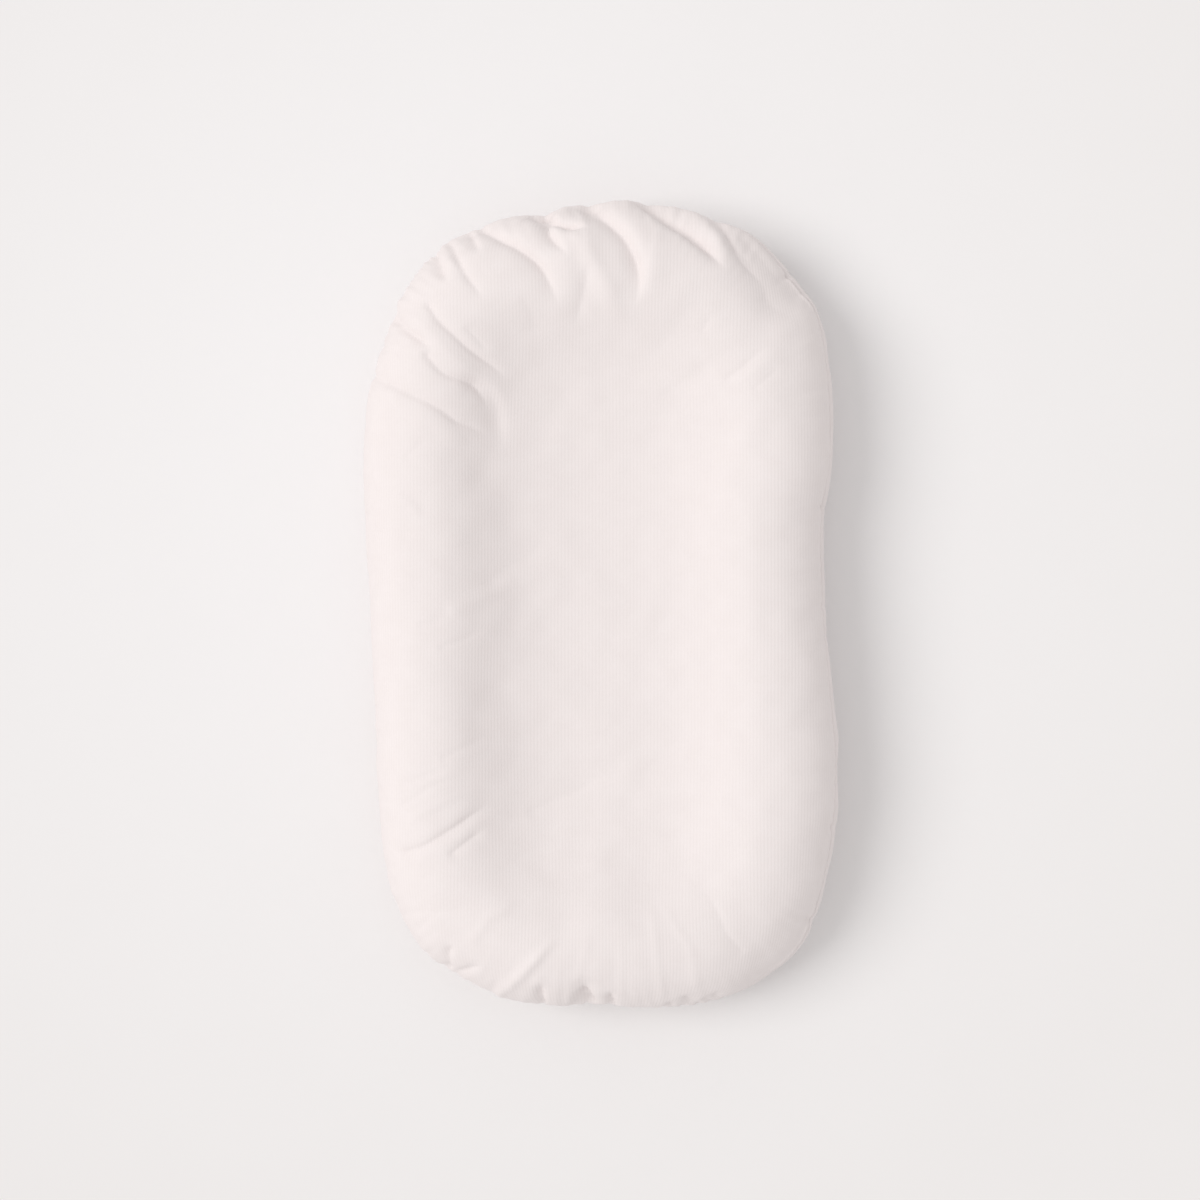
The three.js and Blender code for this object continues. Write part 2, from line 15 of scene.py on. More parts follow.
import bpy
import numpy as np
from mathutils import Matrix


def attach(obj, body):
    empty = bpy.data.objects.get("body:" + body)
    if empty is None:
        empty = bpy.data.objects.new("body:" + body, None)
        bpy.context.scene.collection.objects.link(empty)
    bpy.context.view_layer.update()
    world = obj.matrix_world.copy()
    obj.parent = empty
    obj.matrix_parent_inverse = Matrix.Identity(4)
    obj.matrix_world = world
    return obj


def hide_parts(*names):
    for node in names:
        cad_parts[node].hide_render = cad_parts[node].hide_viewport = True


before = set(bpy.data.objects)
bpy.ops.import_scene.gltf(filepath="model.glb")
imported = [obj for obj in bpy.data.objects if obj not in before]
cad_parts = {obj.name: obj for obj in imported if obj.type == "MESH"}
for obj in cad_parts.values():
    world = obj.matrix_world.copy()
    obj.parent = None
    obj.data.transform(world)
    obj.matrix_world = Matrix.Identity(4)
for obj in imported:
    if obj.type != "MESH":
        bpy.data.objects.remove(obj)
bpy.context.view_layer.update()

# %% [markdown]
# ## Sizes
#
# Sizes are written in millimetres and turned into metres once. The outline is the one of the CAD model, a
# little fuller at the foot's left corner where the cover is slack: points in shares of half the width and
# half the length, anticlockwise from the head end.

# %% Sizes of the lounger
MM = 0.001
LENGTH = 710 * MM
WIDTH = 419 * MM
SPINE_INSET = 205 * MM  # how far in from the edge the middle line lies
SEAM_HEIGHT = 50 * MM
CREST_HEIGHT = 110 * MM
CREST_INSET = 60 * MM
WELL_HEIGHT = 78 * MM
WELL_INSET = 195 * MM
SLOPE_LEAN = 0.15  # how far the steepest part of the slope is brought towards the rim
FOOT_INSET = 35 * MM
FOOT_WIDTH = 60 * MM
HOLLOW_INSET = 125 * MM
HOLLOW_HEIGHT = 14 * MM
COVER_THICKNESS = 1.2 * MM
LINER_THICKNESS = 0.8 * MM
FULLNESS = 0.9  # power of sine and cosine on the shoulder: under 1 is fuller than an ellipse
SPINE_END = LENGTH / 2 - SPINE_INSET  # the middle line runs so far up and down from the object's middle
SEAM_GAP = 0.3 * MM  # between two pieces that are sewn together

OUTLINE_SHARES = [
    (0.006, 1), (-0.259, 0.98), (-0.512, 0.943), (-0.69, 0.885), (-0.81, 0.8), (-0.895, 0.69),
    (-0.98, 0.53), (-1, 0.386), (-0.992, 0.193), (-0.971, -0.036), (-0.954, -0.257), (-0.94, -0.471),
    (-0.916, -0.63), (-0.866, -0.735), (-0.746, -0.86), (-0.5, -0.95), (-0.28, -0.99), (0.006, -0.99),
    (0.364, -0.998), (0.625, -0.95), (0.844, -0.843), (0.966, -0.63), (1, -0.384), (0.971, -0.188),
    (0.945, 0), (0.94, 0.22), (0.971, 0.35), (0.971, 0.513), (0.912, 0.734), (0.84, 0.79), (0.735, 0.865),
    (0.615, 0.93), (0.474, 0.96), (0.23, 0.997),
]

# %% [markdown]
# ## The camera and the photograph's scale
#
# The camera looks straight down. Its height follows from the lens: at the height of the seam, one pixel
# of the photograph is 0.882 mm. It comes first, because the folds of the cover are placed by pixels
# further on. A point above the seam is nearer to the camera and looks further out, so it is compared
# where it is seen.

# %% Camera
PIXEL = 0.882 * MM
FRAME_PIXELS = 1200
OBJECT_PIXEL = (601.5, 605.5)  # middle of the object in the photograph
LENS = 85 * MM
SENSOR = 36 * MM
CAMERA_PLACE = np.array(
    [
        (FRAME_PIXELS / 2 - OBJECT_PIXEL[0]) * PIXEL,
        (OBJECT_PIXEL[1] - FRAME_PIXELS / 2) * PIXEL,
        SEAM_HEIGHT + FRAME_PIXELS * PIXEL * LENS / SENSOR,
    ]
)
camera_data = bpy.data.cameras.new("overhead")
camera_data.lens = LENS / MM
camera_data.sensor_width = SENSOR / MM
camera = bpy.data.objects.new("overhead", camera_data)
camera.location = CAMERA_PLACE
bpy.context.scene.collection.objects.link(camera)
bpy.context.scene.camera = camera


def plan_of_pixels(points):
    """Places in metres, level with the seam, of pixels of the photograph."""
    points = np.array(points, float)
    return np.stack([points[..., 0] - OBJECT_PIXEL[0], OBJECT_PIXEL[1] - points[..., 1]], axis=-1) * PIXEL


def seen_from_camera(point):
    """Where a point is seen level with the seam: it moves out from under the camera by the share of the
    camera's height over the seam to its height over the point."""
    share = (CAMERA_PLACE[2] - SEAM_HEIGHT) / (CAMERA_PLACE[2] - point[..., 2:])
    return CAMERA_PLACE[:2] + (point[..., :2] - CAMERA_PLACE[:2]) * share


print("camera height in metres:", round(camera.location.z, 3))

# %% [markdown]
# ## The outline
#
# A Catmull-Rom curve passes through its points. The centripetal kind takes the square root of each gap as
# its time step, so it neither loops nor overshoots where points lie close together. It is sampled densely
# once and then read by arc length, so that equal steps of place are equal steps along the seam.

# %% The outline and the rays to the middle line
def sampled_curve(points, steps):
    """Closed centripetal Catmull-Rom curve through the points: on each gap a cubic whose end slopes come
    from the neighbouring gaps, with the square root of a gap's length as its time."""
    p0, p1, p2, p3 = (np.roll(points, shift, axis=0) for shift in (1, 0, -1, -2))
    d0, d1, d2 = (
        np.sqrt(np.linalg.norm(b - a, axis=1))[:, None] for a, b in ((p0, p1), (p1, p2), (p2, p3))
    )
    slope1 = ((p1 - p0) / d0 - (p2 - p0) / (d0 + d1) + (p2 - p1) / d1) * d1
    slope2 = ((p2 - p1) / d1 - (p3 - p1) / (d1 + d2) + (p3 - p2) / d2) * d1
    cubic = 2 * p1 - 2 * p2 + slope1 + slope2
    square = 3 * (p2 - p1) - 2 * slope1 - slope2
    t = np.linspace(0, 1, steps, endpoint=False)[None, :, None]
    curve = ((cubic[:, None] * t + square[:, None]) * t + slope1[:, None]) * t + p1[:, None]
    return curve.reshape(-1, 2)


def smooth_step(x):
    """0 below 0, 1 above 1, and 3x^2 - 2x^3 between."""
    x = np.clip(x, 0, 1)
    return x * x * (3 - 2 * x)


def bell(x):
    """e to the minus x squared: 1 at 0, and next to nothing beyond 2."""
    return np.exp(-(x**2))


SEAM_PUFF = 1.9 * MM  # how far the cloth stands out beside the seam
LOOSE_HEIGHT = 3.6 * MM  # slack of the cloth round the head
LOOSE_FROM, LOOSE_OVER = 100 * MM, 120 * MM  # it begins so far up and down, and grows over so much
HEAD_RIGHT, FOOT_RIGHT = 170 * MM, 100 * MM  # and so far to the right it ends, at the head and at the foot
FOOT_SHARE, SIDE_SHARE = 0.62, 0.28  # of it at the foot and along the sides
EDGE_SLACK = 1.1  # how far slack cloth moves the edge out, as a share of its slack


def looseness(plan):
    """Slack of the cloth: most round the head's left and middle, less at the foot, little at the sides."""
    x, y = plan[..., 0], plan[..., 1]
    head = smooth_step((y - LOOSE_FROM) / LOOSE_OVER) * smooth_step((HEAD_RIGHT - x) / LOOSE_OVER)
    foot = smooth_step((-LOOSE_FROM - y) / LOOSE_OVER) * smooth_step((FOOT_RIGHT - x) / LOOSE_OVER)
    return LOOSE_HEIGHT * np.maximum(SIDE_SHARE, np.maximum(head, FOOT_SHARE * foot))


OUTLINE = sampled_curve(np.array(OUTLINE_SHARES) * (WIDTH / 2, LENGTH / 2), steps=80)
OUTLINE -= (OUTLINE.min(axis=0) + OUTLINE.max(axis=0)) / 2
along = np.roll(OUTLINE, -1, axis=0) - np.roll(OUTLINE, 1, axis=0)
outward = np.stack([along[:, 1], -along[:, 0]], axis=-1) / np.linalg.norm(along, axis=1)[:, None]
OUTLINE -= outward * (SEAM_PUFF + EDGE_SLACK * looseness(OUTLINE))[:, None]  # room for puff and slack
outline_steps = np.linalg.norm(np.roll(OUTLINE, -1, axis=0) - OUTLINE, axis=1)
PERIMETER = outline_steps.sum()
OUTLINE_PLACES = np.concatenate([[0], np.cumsum(outline_steps)]) / PERIMETER


def edge_and_ray(places):
    """Edge points at places from 0 to 1 round the outline, and from each the way to the middle line for
    each metre of inset. The middle line runs along y and ends SPINE_INSET inside head and foot."""
    looped = np.vstack([OUTLINE, OUTLINE[:1]])
    edge = np.stack([np.interp(places % 1, OUTLINE_PLACES, looped[:, k]) for k in (0, 1)], axis=-1)
    middle = np.stack([np.zeros_like(edge[..., 1]), np.clip(edge[..., 1], -SPINE_END, SPINE_END)], axis=-1)
    return edge, (middle - edge) / SPINE_INSET


print("perimeter in metres:", round(PERIMETER, 3))

# %% [markdown]
# ## The section
#
# From the middle outwards the section is half a wave up to the crest, a full quarter ellipse down to the
# seam, a quarter ellipse on to the floor, a flat foot, and a low hollow under the middle. Its points are
# joined into one polyline and read by arc length: 0 at the nominal seam, positive over the top, negative
# underneath.

# %% The section as a curve of arc length
def half_wave(share):
    """Half a cosine wave: 1 at share 0, 0 at share 1, level at both."""
    return (1 + np.cos(np.pi * np.clip(share, 0, 1))) / 2


def section_curve(steps=400):
    """Distance out from the middle line and height, as one polyline from the well to the hollow below."""
    slope = np.linspace(SPINE_INSET, CREST_INSET, steps)
    run = np.clip((slope - CREST_INSET) / (WELL_INSET - CREST_INSET), 0, 1)
    leaning = run + SLOPE_LEAN * np.sin(np.pi * run)
    slope_height = WELL_HEIGHT + (CREST_HEIGHT - WELL_HEIGHT) * half_wave(leaning)
    angle = np.linspace(0, np.pi / 2, steps)[1:]
    shoulder = CREST_INSET * (1 - np.sin(angle) ** FULLNESS)
    shoulder_height = SEAM_HEIGHT + (CREST_HEIGHT - SEAM_HEIGHT) * np.clip(np.cos(angle), 0, 1) ** FULLNESS
    belly = FOOT_INSET * (1 - np.cos(angle))
    belly_height = SEAM_HEIGHT * (1 - np.sin(angle))
    under = np.linspace(FOOT_INSET, SPINE_INSET, steps)[1:]
    lift_share = (under - FOOT_INSET - FOOT_WIDTH) / (HOLLOW_INSET - FOOT_INSET - FOOT_WIDTH)
    under_height = HOLLOW_HEIGHT * (1 - half_wave(lift_share))
    inset = np.concatenate([slope, shoulder, belly, under])
    height = np.concatenate([slope_height, shoulder_height, belly_height, under_height])
    return np.stack([-inset, height], axis=-1), len(slope) + len(shoulder) - 1


def section_of(curve, seam, cover_arcs=None):
    """A section ready to be read: its points, the arc length of each from the seam, which falls from the
    middle of the top to the middle of the base, its slope, and the arc length of the cover over each
    point."""
    run = np.concatenate([[0], np.cumsum(np.linalg.norm(np.diff(curve, axis=0), axis=1))])
    arcs = run[seam] - run
    return {
        "points": curve,
        "seam": seam,
        "arcs": arcs,
        "slope": np.gradient(curve, run, axis=0),
        "cover_arcs": arcs if cover_arcs is None else cover_arcs,
    }


def read_section(section, arcs, *columns):
    """Columns of a section's tables at given arc lengths."""
    return [np.interp(-arcs, -section["arcs"], column) for column in columns]


COVER = section_of(*section_curve())
TOP_ARC = COVER["arcs"][0]  # arc length from the seam over the top to the middle line
BASE_ARC = -COVER["arcs"][-1]


def surface(places, arcs, section=COVER):
    """Points and outward normals at places along the outline and arc lengths from the seam. The point is
    the edge, moved along its ray by the section's inset, at the section's height."""
    edge, ray = edge_and_ray(places)
    tables = *section["points"].T, *section["slope"].T
    out, height, out_slope, height_slope = read_section(section, arcs, *tables)
    reach = np.linalg.norm(ray, axis=-1)
    outward = -ray / reach[..., None]
    level = edge + ray * -out[..., None]
    normal_out, normal_up = -height_slope, out_slope * reach
    normal = np.concatenate([outward * normal_out[..., None], normal_up[..., None]], axis=-1)
    normal /= np.hypot(normal_out, normal_up)[..., None]
    return np.concatenate([level, height[..., None]], axis=-1), normal


print("arc over the top and under the base, mm:", round(TOP_ARC / MM), round(BASE_ARC / MM))

# %% [markdown]
# ## Meshes from grids
#
# A grid of points becomes a mesh without a loop over its vertices: the indices of each quad are four
# shifted copies of one index table. A sheet is a row of rings that closes over the middle with rungs, as
# a ladder does, so that no fan of thin triangles meets in a point. The innermost ring may be slightly
# hollow at its two ends, where rungs would fold over, so one blunt face closes each end.

# %% Mesh helpers
BLUNT_PART = 24  # a blunt face takes one in so many of a ring's stations to each side of the end


def quads_between(rows, columns, closed_rows=False, closed_columns=True):
    """Vertex indices of the quads of a grid, as an array with four columns."""
    index = np.arange(rows * columns).reshape(rows, columns)
    if closed_rows:
        index = np.vstack([index, index[:1]])
    if closed_columns:
        index = np.hstack([index, index[:, :1]])
    corners = index[:-1, :-1], index[1:, :-1], index[1:, 1:], index[:-1, 1:]
    return np.stack(corners, axis=-1).reshape(-1, 4)


def rungs_over(ring):
    """Faces that close a ring: station k is joined to the one across by quads, and the stations round
    each end share one face, because the ring may be slightly hollow there."""
    count = len(ring)
    half, blunt = count // 2, count // BLUNT_PART
    k = np.arange(blunt, half - blunt)
    quads = np.stack([ring[k], ring[k + 1], ring[count - k - 1], ring[count - k]], axis=-1).tolist()
    ends = np.roll(ring, blunt)[: 2 * blunt + 1], ring[half - blunt : half + blunt + 1]
    return quads + [end.tolist() for end in ends]


def mesh_piece(name, points, faces, uv=None, smooth=True):
    """A new object from points and faces, with a UV map named cloth where uv has a pair for each point."""
    mesh = bpy.data.meshes.new(name)
    mesh.from_pydata(points.reshape(-1, 3).tolist(), [], faces)
    if uv is not None:
        corners = np.empty(len(mesh.loops), np.int32)
        mesh.loops.foreach_get("vertex_index", corners)
        layer = mesh.uv_layers.new(name="cloth")
        layer.data.foreach_set("uv", uv.reshape(-1, 2)[corners].astype(np.float32).ravel())
    mesh.polygons.foreach_set("use_smooth", np.full(len(mesh.polygons), smooth))
    mesh.validate()
    mesh.update()
    piece = bpy.data.objects.new(name, mesh)
    bpy.context.scene.collection.objects.link(piece)
    print(f"{name}: {len(mesh.loops) - 2 * len(mesh.polygons)} triangles")
    return piece


def strip_between(fine, coarse):
    """Faces from a ring of vertices to one with as many or with half as many: on each coarse vertex a
    triangle to the fine ones beside it, and then a quad."""
    after, count = np.roll(coarse, -1), len(fine)
    if count == len(coarse):
        return np.stack([fine, coarse, after, np.roll(fine, -1)], axis=-1).tolist()
    k = 2 * np.arange(len(coarse))
    first, second, third = fine[k], fine[k + 1], fine[(k + 2) % count]
    triangles = np.stack([first, coarse, second], axis=-1).tolist()
    return triangles + np.stack([second, coarse, after, third], axis=-1).tolist()


def sheet_piece(name, outer, inner, outer_uv, inner_uv):
    """A closed sheet from two grids of rings, each from the middle out to the edge: the outer face, and
    an inner one with as many stations or half as many. Rungs close both over the middle."""
    (rows, columns), (inner_rows, inner_columns) = outer.shape[:2], inner.shape[:2]
    size = rows * columns
    faces = quads_between(rows, columns).tolist() + rungs_over(np.arange(columns))
    faces += (quads_between(inner_rows, inner_columns)[:, ::-1] + size).tolist()
    faces += [face[::-1] for face in rungs_over(size + np.arange(inner_columns))]
    last_outer = np.arange(size - columns, size)
    last_inner = size + np.arange((inner_rows - 1) * inner_columns, inner_rows * inner_columns)
    faces += strip_between(last_outer, last_inner)
    points = np.concatenate([outer.reshape(-1, 3), inner.reshape(-1, 3)])
    return mesh_piece(name, points, faces, np.concatenate([outer_uv.reshape(-1, 2), inner_uv.reshape(-1, 2)]))


def ring_piece(name, rings, uv=None):
    """A closed ring from rings of points, the last of which is joined to the first."""
    return mesh_piece(name, rings, quads_between(*rings.shape[:2], closed_rows=True).tolist(), uv)


def bar_piece(name, sections, uv, dark_ends=False):
    """A bar from closed sections side by side, one in each column of the grid, with a cap on both ends.
    The caps of dark ends are turned inwards, so smooth shading draws a dark line round each end."""
    rows, columns = sections.shape[:2]
    quads = quads_between(rows, columns, closed_rows=True, closed_columns=False)
    sides = quads[:, [0, 3, 2, 1]].tolist()  # turned round, to face outwards
    first = np.arange(rows) * columns
    caps = [first.tolist(), (first + columns - 1)[::-1].tolist()]
    if dark_ends:
        caps = [cap[::-1] for cap in caps]
    return mesh_piece(name, sections, sides + caps, uv)


# %% [markdown]
# ## Folds of the cover
#
# The cover is a little larger than the cushion, so it lies in folds where the rim turns round the head,
# and in small puckers along the seam. The lines below were chosen one by one on the photograph, which looks
# straight down: each is a valley or a ridge of the cloth, from the outside inwards. Two numbers give its
# width on the left and on the right of the line, because most folds have one steep wall and one gentle
# wall. The light comes from the left, so a wall that falls to the right is a dark band and one that rises
# is a bright band.

# %% Fold lines: height (minus is a valley), widths left and right in millimetres, and the line's pixels
FOLD_LINES = {
    "left_low_crease": (-3.4, 6, 3.5, "375,376 397,387 411,396 428,404 443,412 456,421 471,426 493,441"),
    "left_low_roll": (0.8, 6, 8, "410,415 432,423 450,433 470,445"),
    "left_mid_crease": (-3.4, 5, 3.5, "424,350 431,360 440,370 450,376 464,380 475,386 483,397 487,412"),
    "left_high_crease": (-5.4, 5, 4, "378,302 384,308 392,315 401,325 411,333 424,342 438,353"),
    "left_high_roll": (1.2, 5, 6, "392,306 412,320 432,335 448,353 470,371 492,387 507,406"),
    "left_long_crease": (-4.2, 6, 4, "425,300 431,309 441,323 451,333 463,345 475,355 488,364 509,381"),
    "left_long_split": (-1.3, 6, 3.5, "463,324 469,331 479,342 487,355"),
    "corner_crease": (-4.0, 5, 4.5, "440,230 446,240 453,252 460,266 467,278 475,288 484,302"),
    "corner_pinch": (-5.4, 4, 6, "430,246 435,254 439,263 443,272 450,284"),
    "corner_dimple": (-5.0, 4, 7, "466,220 469,229 473,240 483,254"),
    "corner_roll": (1.2, 4, 5, "441,248 450,262 460,274"),
    "head_left_valley": (-8.4, 5, 8,
        "470,214 477,221 484,228 499,237 512,243 527,254 541,268 551,285 559,306"),
    "head_left_roll": (1.5, 8, 8, "500,214 524,224 546,237 562,254 570,276 571,302"),
    "head_left_echo": (-0.5, 6, 7, "520,292 532,318 536,342"),
    "head_wedge": (-7.6, 3.5, 9, "536,205 543,213 546,223 549,234 557,244 569,258"),
    "head_slit": (-7.4, 3.0, 3.2, "530,212 542,216 552,222 561,226 571,228 592,229"),
    "head_lens": (1.6, 5, 5, "551,235 568,237 586,240"),
    "head_lip": (2.0, 5, 5, "554,213 568,209 585,207"),
    "head_deep_valley": (-10.4, 4.5, 13,
        "573,186 580,195 588,204 598,212 611,222 623,233 632,248 638,266 639,284 634,306"),
    "head_deep_roll": (0.8, 9, 4, "628,200 648,215 656,235 651,260 645,285 640,306"),
    "head_deep_shelf": (2.4, 8, 9, "576,212 584,234 591,257 603,281 617,306 624,326"),
    "head_short_valley": (-2.3, 9, 8, "590,260 585,282 579,306 574,328"),
    "right_valley": (-11.5, 4.5, 7,
        "634,195 643,203 652,209 661,216 673,225 686,232 698,240 708,249 716,259 726,274"),
    "right_roll": (2.8, 5, 5, "652,199 666,206 683,215 699,225 712,236 722,248 728,264"),
    "right_shelf": (0.8, 4, 7, "652,218 664,227 684,241 703,257 716,268"),
    "right_line": (-4.8, 3.5, 4.5, "699,206 708,215 716,224 726,236 738,250 752,266 768,285"),
    "right_slope_a": (-1.0, 4, 4, "724,380 738,371 757,354 770,346"),
    "right_slope_b": (0.4, 4, 4, "735,387 752,372 768,360 784,352"),
    "right_slope_c": (-0.8, 4, 4, "752,391 764,380 783,367"),
    "right_slope_d": (-0.9, 6, 5, "700,336 707,324 715,312"),
    "left_side_a": (-1.0, 5, 3, "368,536 384,535 403,534 420,536"),
    "left_side_b": (0.9, 3, 4, "392,494 406,502 424,518"),
    "left_side_c": (-0.8, 5, 4, "403,463 415,450 427,437"),
    "left_slope_a": (-0.9, 10, 9, "480,588 503,571 530,556 552,536"),
    "left_slope_b": (1.1, 6, 6, "444,612 463,606 482,598 503,586 519,577"),
    "left_slope_c": (-0.7, 4, 4, "416,626 432,622 446,616"),
    "left_slope_d": (-0.9, 4, 4, "436,650 452,643 468,637 484,629"),
    "left_slope_e": (-0.9, 4, 4, "438,760 453,753 468,746 490,737"),
    "left_slope_f": (-0.9, 4, 4, "397,786 420,780 440,771 457,764"),
    "left_slope_g": (-1.0, 4, 4, "394,812 407,803 418,796 437,785 466,779"),
    "left_slope_h": (0.7, 4, 4, "406,822 426,812 446,800 468,793"),
    "foot_left_crease": (-3.4, 3.5, 8, "396,857 409,851 427,844 443,835 457,825 477,812 492,802"),
    "foot_left_roll": (0.7, 4, 5, "414,856 432,849 452,840 478,823 500,815"),
    "foot_left_twin": (-2.2, 3.5, 6, "446,857 457,849 470,839 486,829"),
    "foot_long_valley": (-1.4, 9, 8, "520,816 538,808 558,800 578,789 598,775 618,754"),
    "foot_left_line": (-0.7, 5, 3, "385,913 397,912 420,911 444,911 488,908"),
    "foot_ridge": (2.0, 4.5, 4, "482,1006 492,997 503,989 517,978 531,964 547,948 562,933"),
    "foot_soft_ridge": (0.8, 5, 5, "470,946 480,930 489,918 503,910 517,896"),
    "foot_fan_a": (0.5, 4, 4, "664,1000 658,970 654,934 649,896"),
    "foot_fan_b": (0.5, 4, 4, "699,990 696,972 689,945 674,925 664,900"),
    "foot_fan_c": (-0.9, 5, 4, "746,956 729,936 717,910 704,892"),
    "foot_fan_d": (0.4, 4, 4, "620,1000 622,965 622,930"),
    "foot_fan_e": (0.4, 4, 4, "574,985 584,955 590,925"),
    "foot_fan_f": (0.5, 4, 4, "520,1003 532,985 548,968"),
    "head_seam_line": (-4.6, 2.4, 4.5, "482,219 496,217 512,218 530,219 545,220 560,222"),
    "foot_pit_a": (-5.2, 7, 3, "548,1014 544,1003 542,992 543,980"),
    "foot_pit_b": (-7.4, 8.5, 3.5, "602,1016 597,1006 589,997 580,984"),
    "foot_pit_c": (-5.0, 5, 3, "621,1016 617,1006 613,998 612,988"),
    "foot_pit_d": (-3.4, 5, 3, "674,1018 672,1010 669,1001"),
    "foot_pit_e": (-4.8, 5, 4, "696,1018 693,1010 688,1001 686,994"),
    "foot_pit_f": (-3.6, 4, 3, "710,1014 708,1007 704,998"),
    "foot_pit_g": (-3.2, 4, 3, "722,1010 718,1002 713,994"),
    "foot_tuck_a": (-3.8, 4, 3, "452,972 450,962 449,952 453,942"),
    "foot_tuck_b": (-2.6, 3, 3, "444,975 456,970 470,967 484,964"),
}

# Soft hollows, written in the same way: their walls are gentle on both sides.
SOFT_LINES = {
    "left_mid_hollow": (-3.0, 6, 12, "460,372 476,382 488,393 495,408 498,426 498,456"),
    "right_hollow": (-5.2, 12, 21, "724,226 745,248 766,272 783,298 796,330"),
    "foot_hollow": (-3.0, 10, 7, "582,1016 583,1002 585,988 588,972"),
}


# A sharp fold falls off at a rate from a slightly rounded line, and a soft one as a bell with its own rate.
SHARP_RATE, SHARP_ROUND, SHARP_TOP = 1.15, 0.05, 0.22
SOFT_RATE = 0.8
COME_IN_WIDTHS = 1.5  # a fold comes in over so many of its widths
FADE_SHARE = 0.35  # and fades over this share of its length
FOLD_REACH = 4.5  # widths of a fold beyond which it is not worked out


def pixels_of(text):
    """Pixels from a text of x,y pairs with a space between pairs."""
    return np.array([pair.split(",") for pair in text.split()], float)


def along_line(points, count=28):
    """Smooth line through a few points: each coordinate is a cubic spline of the run between the points,
    with the slope at a point taken from its neighbours."""
    run = np.concatenate([[0], np.cumsum(np.linalg.norm(np.diff(points, axis=0), axis=1))])
    slopes = np.gradient(points, run, axis=0)
    t = np.linspace(0, run[-1], count)
    k = np.clip(np.searchsorted(run, t, side="right") - 1, 0, len(run) - 2)
    gap = (run[k + 1] - run[k])[:, None]
    u = (t - run[k])[:, None] / gap
    ends = (2 * u**3 - 3 * u**2 + 1) * points[k] + (3 * u**2 - 2 * u**3) * points[k + 1]
    return ends + gap * ((u**3 - 2 * u**2 + u) * slopes[k] + (u**3 - u**2) * slopes[k + 1])


def distance_to_line(plan, line):
    """For each plan point: its signed distance to the line, positive on the left, and its share of the way
    along. The nearest of the line's pieces counts, each clamped at its ends."""
    start, step = line[:-1], np.diff(line, axis=0)
    away = plan[:, None, :] - start[None]
    share = np.clip((away * step).sum(-1) / (step**2).sum(-1), 0, 1)
    rest = away - share[..., None] * step
    distance = np.linalg.norm(rest, axis=-1)
    nearest = distance.argmin(axis=1)
    row = np.arange(len(plan))
    side = np.sign(step[nearest, 0] * away[row, nearest, 1] - step[nearest, 1] * away[row, nearest, 0])
    return distance[row, nearest] * side, (nearest + share[row, nearest]) / len(step)


def fold_height(plan, height, left, right, pixels, sharp):
    """Height that one fold adds at the plan points. d is the distance over that side's width. A sharp
    fold falls off as e to the minus rate times (the square root of d squared plus a small round, less its
    value at 0), and a soft one as e to the minus rate times d squared. Along the line it comes in, and
    fades at the far end."""
    line = along_line(plan_of_pixels(pixels_of(pixels)))
    length = np.linalg.norm(np.diff(line, axis=0), axis=1).sum()
    widest = max(left, right) * MM
    reach = FOLD_REACH * widest
    near = ((plan > line.min(axis=0) - reach) & (plan < line.max(axis=0) + reach)).all(axis=1)
    result = np.zeros(len(plan))
    distance, share = distance_to_line(plan[near], line)
    d = distance / (np.where(distance > 0, left, right) * MM)
    fall = SHARP_RATE * (np.sqrt(d**2 + SHARP_ROUND) - SHARP_TOP) if sharp else SOFT_RATE * d**2
    come_in = smooth_step(share * length / (COME_IN_WIDTHS * widest))
    result[near] = height * MM * np.exp(-fall) * come_in * smooth_step((1 - share) / FADE_SHARE)
    return result


# %% [markdown]
# ## Stuffing lumps and slack cloth
#
# Fibre stuffing is never quite even, and knit that isn't stretched has shallow waves. Both are sums of
# plane waves in seeded directions, which is smooth, repeatable and worked out for all points at once.

# %% Waves, dents and swells
def random_waves(plan, seed, shortest, longest, count=28):
    """Sum of plane cosine waves with seeded directions, lengths and phases, and a spread of about 1."""
    rng = np.random.default_rng(seed)
    direction = rng.uniform(0, 2 * np.pi, count)
    frequency = 2 * np.pi / rng.uniform(shortest, longest, count)
    phase = rng.uniform(0, 2 * np.pi, count)
    total = np.zeros(plan.shape[:-1])
    for a, f, p in zip(direction, frequency, phase):
        total += np.cos(f * (plan[..., 0] * np.cos(a) + plan[..., 1] * np.sin(a)) + p)
    return total * np.sqrt(2 / count)


# Soft dents and swells of the stuffing: middle in photo pixels, radius and height in millimetres.
LUMPS = [
    (488, 470, 27, -1.9), (432, 464, 24, 1.0), (513, 514, 24, -1.5), (487, 552, 24, -0.6),
    (520, 640, 32, -1.2), (497, 690, 27, -1.4), (486, 735, 24, -1.0), (520, 745, 30, -0.6),
    (548, 742, 27, -0.5), (447, 690, 35, 0.6), (440, 560, 30, 0.6), (445, 935, 30, -1.0),
    (480, 780, 24, 0.5), (415, 600, 38, 0.5), (770, 615, 35, -0.6), (792, 680, 35, 0.6),
    (790, 480, 35, 0.6), (700, 900, 40, 0.5), (640, 500, 68, -0.4), (752, 830, 40, 0.6),
    (725, 300, 40, 0.6), (560, 440, 54, -0.3), (600, 880, 40, 0.5), (800, 288, 36, -6.0),
    (812, 930, 38, -6.0), (765, 978, 36, -5.5), (690, 1000, 32, -3.6), (838, 850, 30, -3.2),
    (640, 320, 75, 5.0), (620, 865, 80, 5.0),
]


# Waves of the stuffing: height, seed, and shortest and longest wave.
STUFFING_WAVES = [(0.35 * MM, 11, 70 * MM, 160 * MM), (0.16 * MM, 12, 25 * MM, 50 * MM)]


